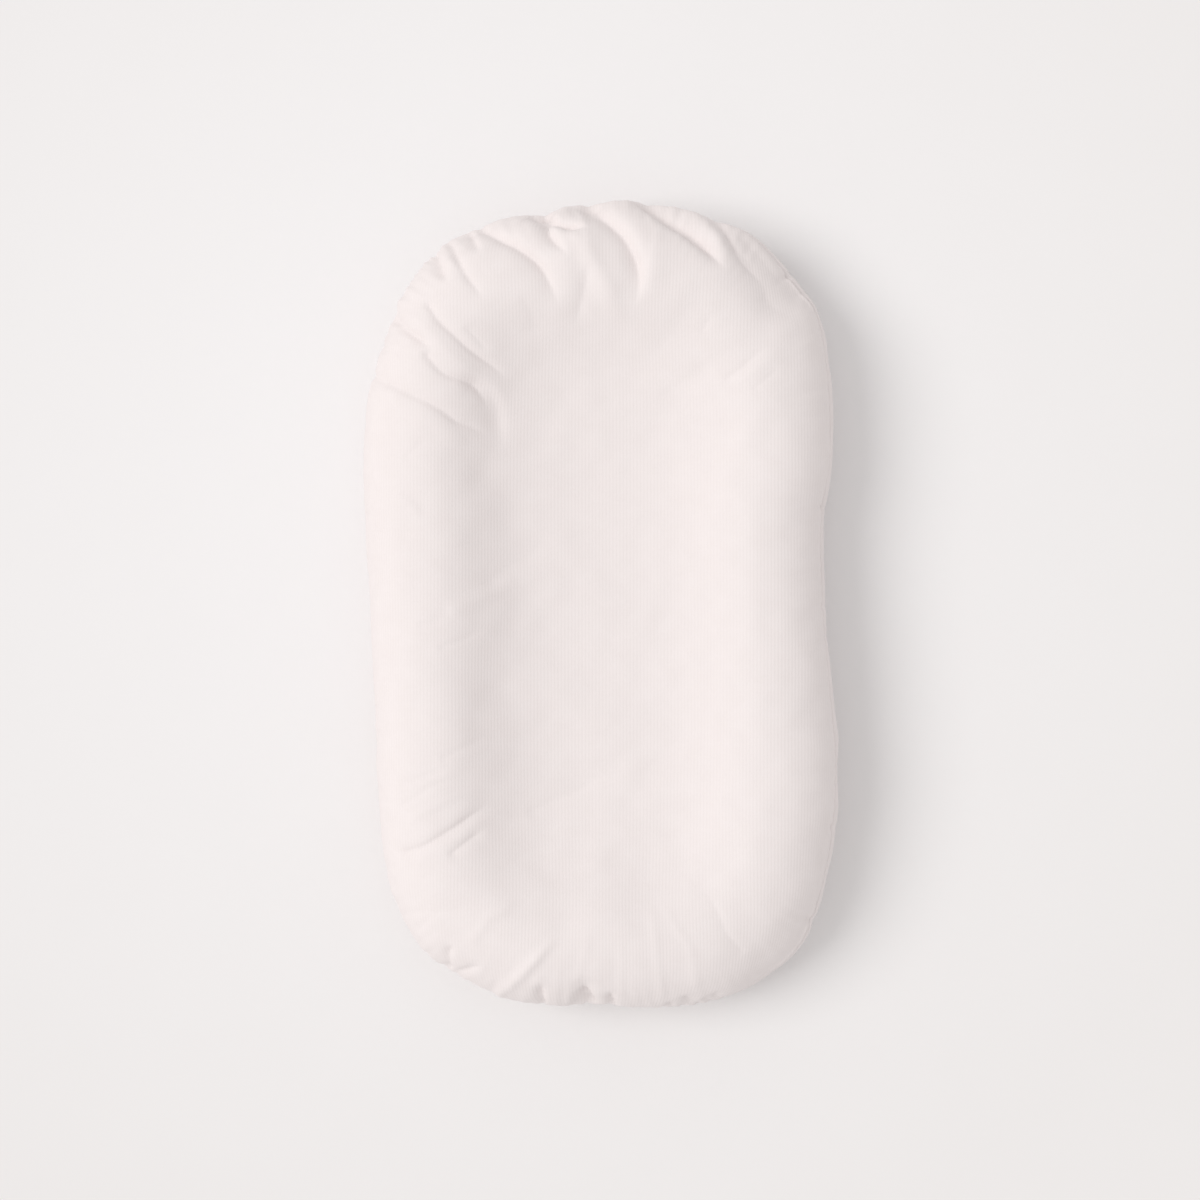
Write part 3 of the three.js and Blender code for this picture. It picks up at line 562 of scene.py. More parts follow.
def lump_height(plan):
    """Waves of the stuffing and the listed lumps, each a bell."""
    height = sum(size * random_waves(plan, *waves) for size, *waves in STUFFING_WAVES)
    for x, y, radius, swell in LUMPS:
        away = np.linalg.norm(plan - plan_of_pixels((x, y)), axis=-1)
        height += swell * MM * bell(away / (radius * MM))
    return height


# %% [markdown]
# ## Puckers along the seam
#
# A sewn edge that is eased round a curve draws up into small gathers: a tight zigzag at the head's left
# corner, and deeper ones at the foot. Each is a notch across the seam which runs out a few millimetres
# in. The notches that show are placed one by one, by a pixel near the edge. The rest of the seam ripples a
# little.

# %% Seam gathers: width, depth and reach inwards in millimetres, at a pixel of the photograph
NOTCHES = [
    (13, 3.6, 22, 546, 213), (3.5, 1.4, 16, 587, 203), (3, 1.6, 16, 647, 205), (4, 2.0, 20, 480, 226),
    (3, 2.4, 16, 437, 258), (4, 2.6, 26, 391, 314), (3, 1.8, 18, 379, 345), (3, 1.8, 18, 372, 375),
    (3, 1.8, 14, 427, 951), (3, 2.6, 16, 447, 960), (2.5, 1.6, 14, 457, 971), (2.5, 1.0, 14, 470, 978),
    (3, 1.4, 14, 543, 1003), (4, 1.2, 14, 572, 1006), (2.6, 1.6, 14, 587, 1006), (2.6, 1.6, 14, 609, 1007),
    (2.4, 0.8, 12, 627, 1008), (2.4, 0.8, 12, 637, 1008), (2.4, 1.2, 12, 663, 1008),
    (2.8, 1.8, 14, 683, 1008), (2.6, 1.6, 14, 699, 1006), (2.6, 1.4, 14, 711, 1003),
    (3.2, 0.8, 12, 727, 1000), (3, 1.6, 12, 828, 508), (3, 1.5, 12, 828, 606), (3, 1.5, 12, 831, 636),
    (3.5, 2.0, 12, 838, 826), (4, 2.2, 14, 826, 925), (3.2, 2.0, 16, 788, 277), (3.2, 1.4, 16, 718, 216),
]
TIGHT_PUCKERS = ((402, 292), (441, 253), 8, 2.1, 1.9, 16)  # first and last pixel, count, width, depth, reach
RIPPLE_STEP, RIPPLE_SHIFT = 0.0072, 0.002  # shares of the outline
RIPPLE_WIDTH, RIPPLE_DEPTH, RIPPLE_REACH = (1.8, 3.2), (0.2, 0.9), (4, 9)
GATHER_WIDTHS = 3  # widths of a notch beyond which it is not worked out

# The seam's ride up the shoulder in millimetres: all round, on the right, and waves round the outline.
RISE, RISE_RIGHT, RISE_WAVE, RISE_WAVES = 3, 18, 1.2, 3
RIGHT_FIRST, RIGHT_IN, RIGHT_LAST, RIGHT_OUT = 0.56, 0.06, 0.985, 0.05  # shares of the outline


def place_near(plan):
    """Place of the outline's point nearest to a point of the plan."""
    return OUTLINE_PLACES[np.linalg.norm(OUTLINE - plan, axis=1).argmin()]


def gather_list():
    """The notches and the tight puckers at their places along the outline, and seeded ripples all round."""
    rng = np.random.default_rng(5)
    ripple_spans = RIPPLE_WIDTH, RIPPLE_DEPTH, RIPPLE_REACH
    notches = [(place_near(plan_of_pixels((x, y))), *sizes) for *sizes, x, y in NOTCHES]
    first, last, count, width, depth, reach = TIGHT_PUCKERS
    pixels = np.array(first) + np.linspace(0, 1, count)[:, None] * (np.array(last) - first)
    puckers = [(place_near(plan), width, depth, reach) for plan in plan_of_pixels(pixels)]
    ripples = [
        (place + rng.normal(0, RIPPLE_SHIFT), *(rng.uniform(*span) for span in ripple_spans))
        for place in np.arange(0, 1, RIPPLE_STEP)
    ]
    return np.array(notches + puckers + ripples)


GATHERS = gather_list()


def gather_height(places, from_seam):
    """Sum of the notches: minus depth times a bell across the seam times a bell of the distance from it."""
    height = np.zeros(np.broadcast(places, from_seam).shape)
    for place, width, depth, reach in GATHERS:
        apart = ((places - place + 0.5) % 1 - 0.5) * PERIMETER / (width * MM)
        near = np.abs(apart[0]) < GATHER_WIDTHS
        height[:, near] -= depth * MM * bell(apart[:, near]) * bell(from_seam[:, near] / (reach * MM))
    return height


def seam_rise(places):
    """How far the seam has ridden up the shoulder, as an arc length: most on the right, where the underside
    shows past it."""
    places = places % 1
    right = smooth_step((places - RIGHT_FIRST) / RIGHT_IN) * smooth_step((RIGHT_LAST - places) / RIGHT_OUT)
    return (RISE + RISE_RIGHT * right + RISE_WAVE * np.sin(2 * np.pi * RISE_WAVES * places)) * MM


# %% [markdown]
# ## The cover's top panel
#
# It is one grid: rings from the middle of the well out to the seam, closer together over the rim, and a
# coarser set of rings for the cloth's inner face. Towards the seam the folds fade, so that the silhouette
# stays even. A fold may press the cushion in by a few millimetres and no further. So the sum passes
# through a soft floor: the square root keeps it above that depth, and smooth.

# %% Relief of the cover over the cushion
DEEPEST = 5.6 * MM  # how far a valley of the cover may press the cushion in
FLOOR_SOFTNESS = 0.6 * MM
FOLDS_FROM, FOLDS_OVER = 3 * MM, 16 * MM  # folds begin so far from the seam, and grow over so much
WANDER = 0.5 * MM  # how far fold lines stray from their drawn way, in waves of the next two lengths
WANDER_SEEDS, WANDER_WAVES = (31, 32), (30 * MM, 90 * MM)
WRINKLE_WAVES = (51, 8 * MM, 20 * MM)  # seed, shortest and longest
WRINKLE_STRETCH = 0.22  # under 1, wrinkles are longer across the seam than along it
WRINKLE_FROM_SEAM, WRINKLE_REACH = 16 * MM, 34 * MM
WRINKLE_HEIGHT, SLACK_WRINKLE_HEIGHT = 0.10 * MM, 0.25 * MM  # everywhere, and more where the cloth is slack
SEAM_PULL_REACH = 5 * MM
BEAD_HEIGHT, BEAD_FROM_SEAM, BEAD_REACH = 0.9 * MM, 2.6 * MM, 1.5 * MM
TOP_PUFF_REACH, UNDER_PUFF_REACH = 28 * MM, 26 * MM
UNDER_WAVES, UNDER_WAVE_HEIGHT, UNDER_SLACK = (41, 30 * MM, 90 * MM), 0.5 * MM, 0.8 * MM
ON_FLOOR, OFF_FLOOR = 2 * MM, 16 * MM  # the lower cloth is taut up to a height, and grows slack over another


def soft_floor(height):
    """The height where it is well above the deepest dent, and never below that: half of the sum of both and
    of the square root of their difference squared plus a small square."""
    over = height + DEEPEST
    return (over + np.sqrt(over**2 + FLOOR_SOFTNESS**2)) / 2 - DEEPEST


def cloth_waves(places, from_seam):
    """Fine wrinkles that run in from the seam: stretched waves under a bell round a distance from it."""
    run = np.stack([places * PERIMETER, from_seam * WRINKLE_STRETCH], axis=-1)
    return random_waves(run, *WRINKLE_WAVES) * bell((from_seam - WRINKLE_FROM_SEAM) / WRINKLE_REACH)


def seam_pull(from_seam):
    """How far the cloth is free of the seam: 0 on it, and 1 about a centimetre away."""
    return 1 - bell(from_seam / SEAM_PULL_REACH)


def edge_bead(from_seam):
    """A low bead where the cloth turns over the allowance: a bell of the distance from the seam."""
    return BEAD_HEIGHT * bell((from_seam - BEAD_FROM_SEAM) / BEAD_REACH)


def cover_relief(places, from_seam, point):
    """Height of the cloth over the cushion: slack, lumps, folds and gathers, drawn in at the seam."""
    plan = seen_from_camera(point)
    flat_plan = plan.reshape(-1, 2)
    wander = np.stack([random_waves(flat_plan, seed, *WANDER_WAVES) for seed in WANDER_SEEDS], axis=-1)
    cloth_plan = flat_plan + wander * WANDER
    folds = sum(fold_height(cloth_plan, *fold, fold[0] < 0) for fold in FOLD_LINES.values())
    folds += sum(fold_height(cloth_plan, *fold, False) for fold in SOFT_LINES.values())
    folds = folds.reshape(plan.shape[:-1]) * smooth_step((from_seam - FOLDS_FROM) / FOLDS_OVER)
    slack = looseness(plan)
    wrinkled = WRINKLE_HEIGHT + SLACK_WRINKLE_HEIGHT * slack / LOOSE_HEIGHT
    height = soft_floor(slack + lump_height(plan) + folds + wrinkled * cloth_waves(places, from_seam))
    puffed = seam_pull(from_seam) * (height + SEAM_PUFF * bell(from_seam / TOP_PUFF_REACH))
    return puffed + edge_bead(from_seam) + gather_height(places, from_seam)


def underside_relief(places, from_seam, point):
    """Slack of the lower cloth: a puff beside the seam, gathers across it, and nothing where it meets the
    floor."""
    off_floor = smooth_step((point[..., 2] - ON_FLOOR) / OFF_FLOOR) * (point[..., 2] > HOLLOW_HEIGHT + MM)
    bulge = SEAM_PUFF * bell(from_seam / UNDER_PUFF_REACH)
    run = np.stack([places * PERIMETER, from_seam], axis=-1)
    around = UNDER_SLACK + UNDER_WAVE_HEIGHT * random_waves(run, *UNDER_WAVES)
    puffed = seam_pull(from_seam) * (bulge + soft_floor(around))
    return off_floor * (puffed + edge_bead(from_seam) + gather_height(places, from_seam))


def flat_cloth(places, run_from_middle):
    """Place in the cloth as it was cut: where the ray meets the middle line, and from there back out along
    the ray by the arc length."""
    edge, ray = edge_and_ray(places)
    return edge + ray * (SPINE_INSET - run_from_middle[..., None])


HEAD_PLACE, FOOT_PLACE = (place_near(np.array([0, end])) for end in (LENGTH / 2, -LENGTH / 2))
HEAD_PLACE -= round(HEAD_PLACE)  # just before or after the start of the outline


def paired_places(count):
    """Places round the outline from the middle of the head: as many down the left side as up the right, so
    that station k of the first half lies across the middle line from station count - k."""
    half = count // 2
    down = np.linspace(HEAD_PLACE, FOOT_PLACE, half, endpoint=False)
    up = np.linspace(FOOT_PLACE, HEAD_PLACE + 1, half, endpoint=False)
    return np.concatenate([down, up])[None, :]


# %% [markdown]
# ## What lies under the folds
#
# A fold presses the layers below it in. They have coarser meshes than the cover, so each reads the lowest
# relief within a few millimetres of its own points, and then its facets never cut through a fold. The
# relief is worked out once on a table, and the lowest of each neighbourhood is the least of a few shifted
# copies of it.

# %% Table of the lowest relief near each place
PRESS_STATIONS = 1000
PRESS_FIRST_ARC = -60 * MM
PRESS_ROWS = 160
PRESS_REACH = 3  # cells to each side


def press_table():
    """Lowest relief of the cover within reach of each cell of a grid of places and arc lengths."""
    places = np.arange(PRESS_STATIONS)[None, :] / PRESS_STATIONS
    arcs = np.linspace(PRESS_FIRST_ARC, TOP_ARC, PRESS_ROWS)[:, None]
    arcs, spread = np.broadcast_arrays(arcs, places)
    point, _ = surface(spread, arcs)
    from_seam = arcs - seam_rise(spread)
    over, under = np.maximum(from_seam, 0), np.maximum(-from_seam, 0)
    above, below = cover_relief(spread, over, point), underside_relief(spread, under, point)
    relief = np.where(from_seam > 0, above, below)
    relief = np.pad(relief, ((PRESS_REACH, PRESS_REACH), (0, 0)), mode="edge")
    rows = [relief[k : k + PRESS_ROWS] for k in range(2 * PRESS_REACH + 1)]
    lowest = np.min(rows, axis=0)
    return np.min([np.roll(lowest, k, axis=1) for k in range(-PRESS_REACH, PRESS_REACH + 1)], axis=0)


PRESS = press_table()


def lowest_relief(places, arcs):
    """The press table between its entries: the mean of four cells, weighted by nearness."""
    share = (arcs - PRESS_FIRST_ARC) / (TOP_ARC - PRESS_FIRST_ARC)
    row = np.clip(share * (PRESS_ROWS - 1), 0, PRESS_ROWS - 1.001)  # a little before the last row
    column = (places % 1) * PRESS_STATIONS
    r, c = row.astype(int), column.astype(int) % PRESS_STATIONS
    down, right = row - r, column % 1
    after = (c + 1) % PRESS_STATIONS
    upper = PRESS[r, c] * (1 - right) + PRESS[r, after] * right
    lower = PRESS[r + 1, c] * (1 - right) + PRESS[r + 1, after] * right
    return upper * (1 - down) + lower * down


print("deepest dent in mm:", round(-PRESS.min() / MM, 1))

# %% The top panel
TOP_STATIONS = 1000
TOP_RINGS = 120
TOP_INNER_RINGS = 60
RUNG_REACH = 4 * MM  # the innermost ring stays this far from the middle line, and rungs join its two sides
EVEN_SHARE = 0.65  # of the spacing of rings that is even


def ring_arcs(count, seam_arcs, last_arc):
    """Arc lengths of rings from the middle out to the seam. The share of the way is a mean of t and t
    cubed, with t counted from the seam, so rings are closer over the rim than in the well."""
    t = np.linspace(1, 0, count)[:, None]
    return seam_arcs + (last_arc - seam_arcs) * (EVEN_SHARE * t + (1 - EVEN_SHARE) * t**3)


def cover_top():
    """The top panel: an outer face with its relief, and an inner face one cloth's thickness below the
    lowest relief nearby."""

    def face(stations, rings):
        places = paired_places(stations)
        rise = seam_rise(places)
        arcs, spread = np.broadcast_arrays(ring_arcs(rings, rise, TOP_ARC - RUNG_REACH), places)
        return spread, arcs, arcs - rise, *surface(spread, arcs)

    places, arcs, from_seam, point, normal = face(TOP_STATIONS, TOP_RINGS)
    outer = point + normal * cover_relief(places, from_seam, point)[..., None]
    outer_flat = flat_cloth(places, TOP_ARC - arcs)
    places, arcs, _, point, normal = face(TOP_STATIONS // 2, TOP_INNER_RINGS)
    inner = point + normal * (lowest_relief(places, arcs) - COVER_THICKNESS)[..., None]
    return sheet_piece("cover_top", outer, inner, outer_flat, flat_cloth(places, TOP_ARC - arcs))


def belongs(piece, slot, *nodes):
    """Says that a piece rides on the lounger and hides the CAD nodes that it stands for. The slot is not
    used.
    """
    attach(piece, "lounger")
    if nodes:
        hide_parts(*nodes)
    return piece


top = belongs(cover_top(), "cover_cloth", "cover_top_panel")

# %% [markdown]
# ## The cover's underside
#
# Two halves meet along the middle and leave the slot for the zip between them. Each half is a row of
# closed sections, out along the lower face and back along the inner one. The inner end of a section is
# where its ray meets the slot, or the middle line beyond the slot's ends.

# %% The two halves of the underside
ZIP_SLOT_WIDTH = 14.4 * MM
ZIP_SLOT_LENGTH = 352 * MM
HALF_STATIONS = 420
HALF_RINGS = 60
HALF_INNER_RINGS = 30
CROWDING = 1.1  # over 1, rings are closer together near the seam


def slot_inset(edge):
    """Inset at which a ray from the edge meets the slot's edge: the larger of the insets at which it passes
    the slot's side and the slot's end."""
    half_width, half_length = ZIP_SLOT_WIDTH / 2, ZIP_SLOT_LENGTH / 2
    across, along = np.abs(edge[..., 0]), np.abs(edge[..., 1])
    side = 1 - half_width / np.maximum(across, half_width)
    end = np.maximum(along - half_length, 0) / np.maximum(along - SPINE_END, half_length - SPINE_END)
    return SPINE_INSET * np.maximum(side, end)


def underside_half(hand, first_place, last_place):
    """One half: sections from the seam under the rim to the slot, and back inside, at each station."""
    places = np.linspace(first_place, last_place, HALF_STATIONS)[None, :]
    rise = seam_rise(places)
    edge, _ = edge_and_ray(places)
    flat_arc = BASE_ARC - (SPINE_INSET - slot_inset(edge))

    def face(rings, relief):
        share = np.linspace(0, 1, rings)[:, None] ** CROWDING
        arcs = rise - SEAM_GAP - (rise + flat_arc) * share
        arcs, spread = np.broadcast_arrays(arcs, places)
        point, normal = surface(spread, arcs)
        lift = relief(spread % 1, arcs, point)
        return point + normal * lift[..., None], flat_cloth(spread, BASE_ARC + arcs)

    outer, outer_flat = face(HALF_RINGS, lambda at, arcs, point: underside_relief(at, rise - arcs, point))
    inner, inner_flat = face(HALF_INNER_RINGS, lambda at, arcs, _: lowest_relief(at, arcs) - COVER_THICKNESS)
    sections = np.concatenate([outer[::-1], inner])
    side = -1 if hand == "left" else 1
    sections[..., 0] = side * np.maximum(side * sections[..., 0], SEAM_GAP / 2)
    uv = np.concatenate([outer_flat[::-1], inner_flat])
    return bar_piece(f"cover_underside_{hand}_half", sections, uv, dark_ends=True)


halves = [
    belongs(underside_half("left", HEAD_PLACE, FOOT_PLACE), "cover_cloth", "cover_underside_left"),
    belongs(underside_half("right", FOOT_PLACE, HEAD_PLACE + 1), "cover_cloth", "cover_underside_right"),
]

# %% [markdown]
# ## The folded edges inside the seams
#
# Where two panels are sewn together, their edges are turned in and hang inside as a narrow strip of two
# layers. The strip is a closed profile in arc length and depth, carried all the way round below the seam.

# %% The cover's seam allowance
ALLOWANCE_WIDTH = 8 * MM
ALLOWANCE_THICKNESS = 1.6 * MM
ALLOWANCE_STATIONS = 400
SLIT = 0.06 * MM  # half the gap between the two layers
JOINT = 1.2 * MM  # how far in from the seam they are one
RIM_STEP = 2 * MM  # a corner lies so far from each edge, so that shading stays flat between


def allowance_profile():
    """Arc lengths from the seam and depths of the strip's corners: down the outer layer, up the slit
    between the layers and down again, and up the inner layer."""
    first, last = SEAM_GAP, SEAM_GAP + ALLOWANCE_WIDTH
    thick, upper, lower = ALLOWANCE_THICKNESS, ALLOWANCE_THICKNESS / 2 - SLIT, ALLOWANCE_THICKNESS / 2 + SLIT
    corners = np.array([
        (first, 0), (first + RIM_STEP, 0), (last - RIM_STEP, 0), (last, 0), (last, upper),
        (first + JOINT, upper), (first + JOINT, lower), (last, lower),
        (last, thick), (last - RIM_STEP, thick), (first + RIM_STEP, thick), (first, thick),
    ])
    return -corners[:, :1], corners[:, 1:]


def cover_allowance():
    """The strip below the cover's seam, one gap inside the cloth and pressed in with it."""
    places = np.arange(ALLOWANCE_STATIONS)[None, :] / ALLOWANCE_STATIONS
    away, depth = allowance_profile()
    arcs, spread = np.broadcast_arrays(seam_rise(places) + away, places)
    point, normal = surface(spread, arcs)
    lift = np.minimum(lowest_relief(spread, arcs), 0) - COVER_THICKNESS - SEAM_GAP - depth
    rings = point + normal * lift[..., None]
    return ring_piece("cover_seam_edges", rings, flat_cloth(spread, TOP_ARC - arcs))


cover_edges = belongs(cover_allowance(), "cover_cloth", "cover_seam_allowance")

# %% [markdown]
# ## The liner
#
# The cushion is sewn from plain woven cloth. Its top panel dips to the base along a stitched channel,
# which parts the stuffing of the rim from the pad in the middle. Its section comes from the cover's: set
# in by every layer between, dipped at the channel, and raised over the zip. Each of its points keeps the
# arc length of the cover above it, so that the folds press in all layers at the same place.

# %% The section of the liner's inner face
LAYER_GAP = 0.5 * MM
STUFFING_GAP = 0.8 * MM
LINER_DEPTH = COVER_THICKNESS + LAYER_GAP + LINER_THICKNESS
CHANNEL_INSET = 130 * MM
CHANNEL_REACH = 40 * MM
STITCH_THICKNESS = 0.8 * MM
ROOM_REACH = 0.8  # of an allowance's width, to each side of its middle, is set in
ZIP_ROOM = 3.3 * MM
MIDDLE_FLOOR = HOLLOW_HEIGHT + LINER_DEPTH + ZIP_ROOM
CHANNEL_HEIGHT = MIDDLE_FLOOR + 2 * SEAM_GAP + STITCH_THICKNESS


def liner_section():
    """The cover's section less the liner's depth along its normal. Round the channel its height is drawn
    to the stitching by a squared cosine, and beyond the foot it rises by a smooth step to clear the
    zip."""
    points, arcs = COVER["points"], COVER["arcs"]
    slope = COVER["slope"] / np.linalg.norm(COVER["slope"], axis=1)[:, None]
    inside = points - LINER_DEPTH * np.stack([-slope[:, 1], slope[:, 0]], axis=-1)
    inset = -points[:, 0]
    away = np.clip(np.abs(inset - CHANNEL_INSET) / CHANNEL_REACH, 0, 1)
    dip = np.where(arcs > 0, np.cos(np.pi / 2 * away) ** 2, 0)
    foot_end = FOOT_INSET + FOOT_WIDTH
    lift = np.where(arcs < 0, ZIP_ROOM * smooth_step((inset - foot_end) / (HOLLOW_INSET - foot_end)), 0)
    inside[:, 1] = inside[:, 1] * (1 - dip) + CHANNEL_HEIGHT * dip + lift
    return section_of(inside, COVER["seam"], arcs)


LINER = liner_section()


def allowance_room(from_seam):
    """How much further in a layer lies where a seam allowance hangs: its thickness, over about its width."""
    away = (from_seam + ALLOWANCE_WIDTH / 2 + SEAM_GAP) / (ROOM_REACH * ALLOWANCE_WIDTH)
    return (ALLOWANCE_THICKNESS + SEAM_GAP) * bell(away**2)


def layer(places, arcs, lift):
    """Points of a layer at a lift over the liner's inner face, pressed in by the cover's dents and set in
    where the cover's seam allowance hangs."""
    point, normal = surface(places, arcs, LINER)
    (cover_arcs,) = read_section(LINER, arcs, LINER["cover_arcs"])
    dent = np.minimum(lowest_relief(places, cover_arcs), 0)
    moved = dent - allowance_room(cover_arcs - seam_rise(places)) + lift
    return point + normal * moved[..., None]


def arc_at_inset(section, inset, over):
    """Arc length at which a section lies that far in, over the top or under the base."""
    part = slice(section["seam"], None, -1) if over else slice(section["seam"], None)
    return np.interp(inset, -section["points"][part, 0], section["arcs"][part])


print("liner over the channel, mm:", round(CHANNEL_HEIGHT / MM, 1))

# %% The liner's panels and its seam allowance
LINER_STATIONS = 400
LINER_RINGS = 56


def clockwise(grid):
    """The same rings the other way round, with the first station kept: turns a sheet's faces over."""
    return np.roll(grid[:, ::-1], 1, axis=1)


def liner_panel(name, over):
    """A panel of the liner, over the top or under the base: two faces one thickness apart."""
    edge = SEAM_GAP / 2 if over else -SEAM_GAP / 2
    last = LINER["arcs"][0] - RUNG_REACH if over else LINER["arcs"][-1] + RUNG_REACH
    places = paired_places(LINER_STATIONS)
    arcs, spread = np.broadcast_arrays(ring_arcs(LINER_RINGS, edge, last), places)
    grids = [layer(spread, arcs, lift) for lift in (LINER_THICKNESS, 0.0)]
    grids += [flat_cloth(spread, np.abs(last - arcs))] * 2
    return sheet_piece(name, *(grids if over else map(clockwise, grids)))


def liner_allowance():
    """The strip below the liner's seam, one gap inside its cloth."""
    places = np.arange(ALLOWANCE_STATIONS)[None, :] / ALLOWANCE_STATIONS
    away, depth = allowance_profile()
    arcs, spread, depth = np.broadcast_arrays(away, places, depth)
    rings = layer(spread, arcs, -SEAM_GAP - depth)
    return ring_piece("liner_seam_edges", rings, flat_cloth(spread, TOP_ARC - arcs))


liner_top = belongs(liner_panel("liner_top", True), "liner_cloth", "liner_top_panel")
liner_base = belongs(liner_panel("liner_base", False), "liner_cloth", "liner_base_panel")
liner_edges = belongs(liner_allowance(), "liner_cloth", "liner_seam_allowance")

# %% [markdown]
# ## The stuffing
#
# Loose polyester fibre keeps small tufts at its surface. The rim's stuffing is a ring that thins out
# towards the channel, and the middle has a thin pad. Both lie just inside the liner, and their tufts only
# go inwards.

# %% Rim and middle stuffing
STUFFING_INSET = 5 * MM  # how far from the channel the stuffing ends
TUFT_DEPTH = 0.7 * MM
TUFT_WAVES = [(0.6, 61, 12 * MM, 30 * MM), (0.4, 62, 6 * MM, 12 * MM)]  # share, seed, shortest, longest
TUFT_RANGE = (-1.5, 1)  # of the waves, before the top is brought to zero
RIM_OVER_RINGS, RIM_UNDER_RINGS = 44, 34
MIDDLE_STATIONS, MIDDLE_RINGS = 240, 36


def tufts(point):
    """Depth of the dips between tufts: two sizes of waves over the plan and the height, none above zero."""
    plan = np.stack([point[..., 0] + point[..., 2], point[..., 1] - point[..., 2]], axis=-1)
    total = sum(share * random_waves(plan, *waves) for share, *waves in TUFT_WAVES)
    return TUFT_DEPTH * (np.clip(total, *TUFT_RANGE) - TUFT_RANGE[1])


def rim_fibre():
    """A closed ring: over the top from the channel to the edge, and back along the base."""
    places = np.arange(LINER_STATIONS)[None, :] / LINER_STATIONS
    reach = CHANNEL_INSET - STUFFING_INSET
    first, last = (arc_at_inset(LINER, reach, over) for over in (True, False))
    over, under = np.linspace(first, 0, RIM_OVER_RINGS), np.linspace(0, last, RIM_UNDER_RINGS)
    arcs = np.concatenate([over, under[1:]])[:, None]
    arcs, spread = np.broadcast_arrays(arcs, places)
    inside = -STUFFING_GAP - allowance_room(arcs)
    rings = layer(spread, arcs, inside + tufts(layer(spread, arcs, inside)))
    return ring_piece("rim_fibre", rings, flat_cloth(spread, TOP_ARC - arcs))


def middle_fibre():
    """The pad: its upper face follows the liner from the middle to the channel, and its lower is level."""
    first, last = LINER["arcs"][0] - RUNG_REACH, arc_at_inset(LINER, CHANNEL_INSET + STUFFING_INSET, True)
    rings = np.linspace(first, last, MIDDLE_RINGS)[:, None]
    arcs, spread = np.broadcast_arrays(rings, paired_places(MIDDLE_STATIONS))
    upper = layer(spread, arcs, -STUFFING_GAP + tufts(layer(spread, arcs, 0.0)))
    lower = upper.copy()
    lower[..., 2] = MIDDLE_FLOOR + STUFFING_GAP
    flat = flat_cloth(spread, TOP_ARC - arcs)
    return sheet_piece("middle_fibre", upper, lower, flat, flat)


rim = belongs(rim_fibre(), "stuffing", "rim_stuffing")
middle = belongs(middle_fibre(), "stuffing", "middle_stuffing")

# %% [markdown]
# ## Threads
#
# The channel is sewn with a zigzag of one thread, which is a tube round a wavy path. The zip's slot has a
# row of topstitching round it. There each stitch dives into the cloth, so it is a short closed body of
# its own, and all of them are one small shape placed along the path by whole arrays.

# %% The channel's zigzag and the topstitching round the zip
ZIGZAG_COUNT = 250
ZIGZAG_REACH = 0.8 * MM
TOPSTITCH_FROM_SLOT = 2.6 * MM
TOPSTITCH_PITCH = 3.2 * MM
TOPSTITCH_LENGTH = 2.6 * MM
TOPSTITCH_RADIUS = 0.32 * MM
SLOT_PATH_POINTS = 400
PATH_START = 1e-3  # radians off the axis, so that no point lies on the border of two corners
STITCH_STEPS, STITCH_SIDES = 7, 8
UP = np.array([0, 0, 1])


def right_of(ahead):
    """The level way to the right of each way ahead."""
    return np.stack([ahead[..., 1], -ahead[..., 0], np.zeros(ahead.shape[:-1])], axis=-1)


def units(vectors):
    """The vectors at length 1."""
    return vectors / np.linalg.norm(vectors, axis=-1)[..., None]


def channel_thread(sides=6, steps=8):
    """A tube: the channel's line moved in and out by a sine, with a circle square to it at each step."""
    count = ZIGZAG_COUNT * steps
    k = np.arange(count)
    edge, ray = edge_and_ray(k / count)
    inset = CHANNEL_INSET + ZIGZAG_REACH * np.sin(2 * np.pi * k / steps)
    height = MIDDLE_FLOOR + SEAM_GAP + STITCH_THICKNESS / 2
    path = np.concatenate([edge + ray * inset[:, None], np.full((count, 1), height)], axis=-1)
    right = right_of(units(np.roll(path, -1, axis=0) - np.roll(path, 1, axis=0)))
    angle = 2 * np.pi * np.arange(sides)[:, None, None] / sides
    rings = path + STITCH_THICKNESS / 2 * (np.cos(angle) * right + np.sin(angle) * UP)
    return ring_piece("channel_zigzag", rings[::-1])


def slot_path():
    """A closed rectangle with round corners outside the slot, anticlockwise from above."""
    half = np.array([ZIP_SLOT_WIDTH / 2, ZIP_SLOT_LENGTH / 2])
    angle = np.linspace(0, 2 * np.pi, SLOT_PATH_POINTS, endpoint=False) + PATH_START
    way = np.stack([np.cos(angle), np.sin(angle)], axis=-1)
    corner = np.sign(way) * half + TOPSTITCH_FROM_SLOT * way
    return np.concatenate([corner, np.full((len(angle), 1), HOLLOW_HEIGHT)], axis=-1)


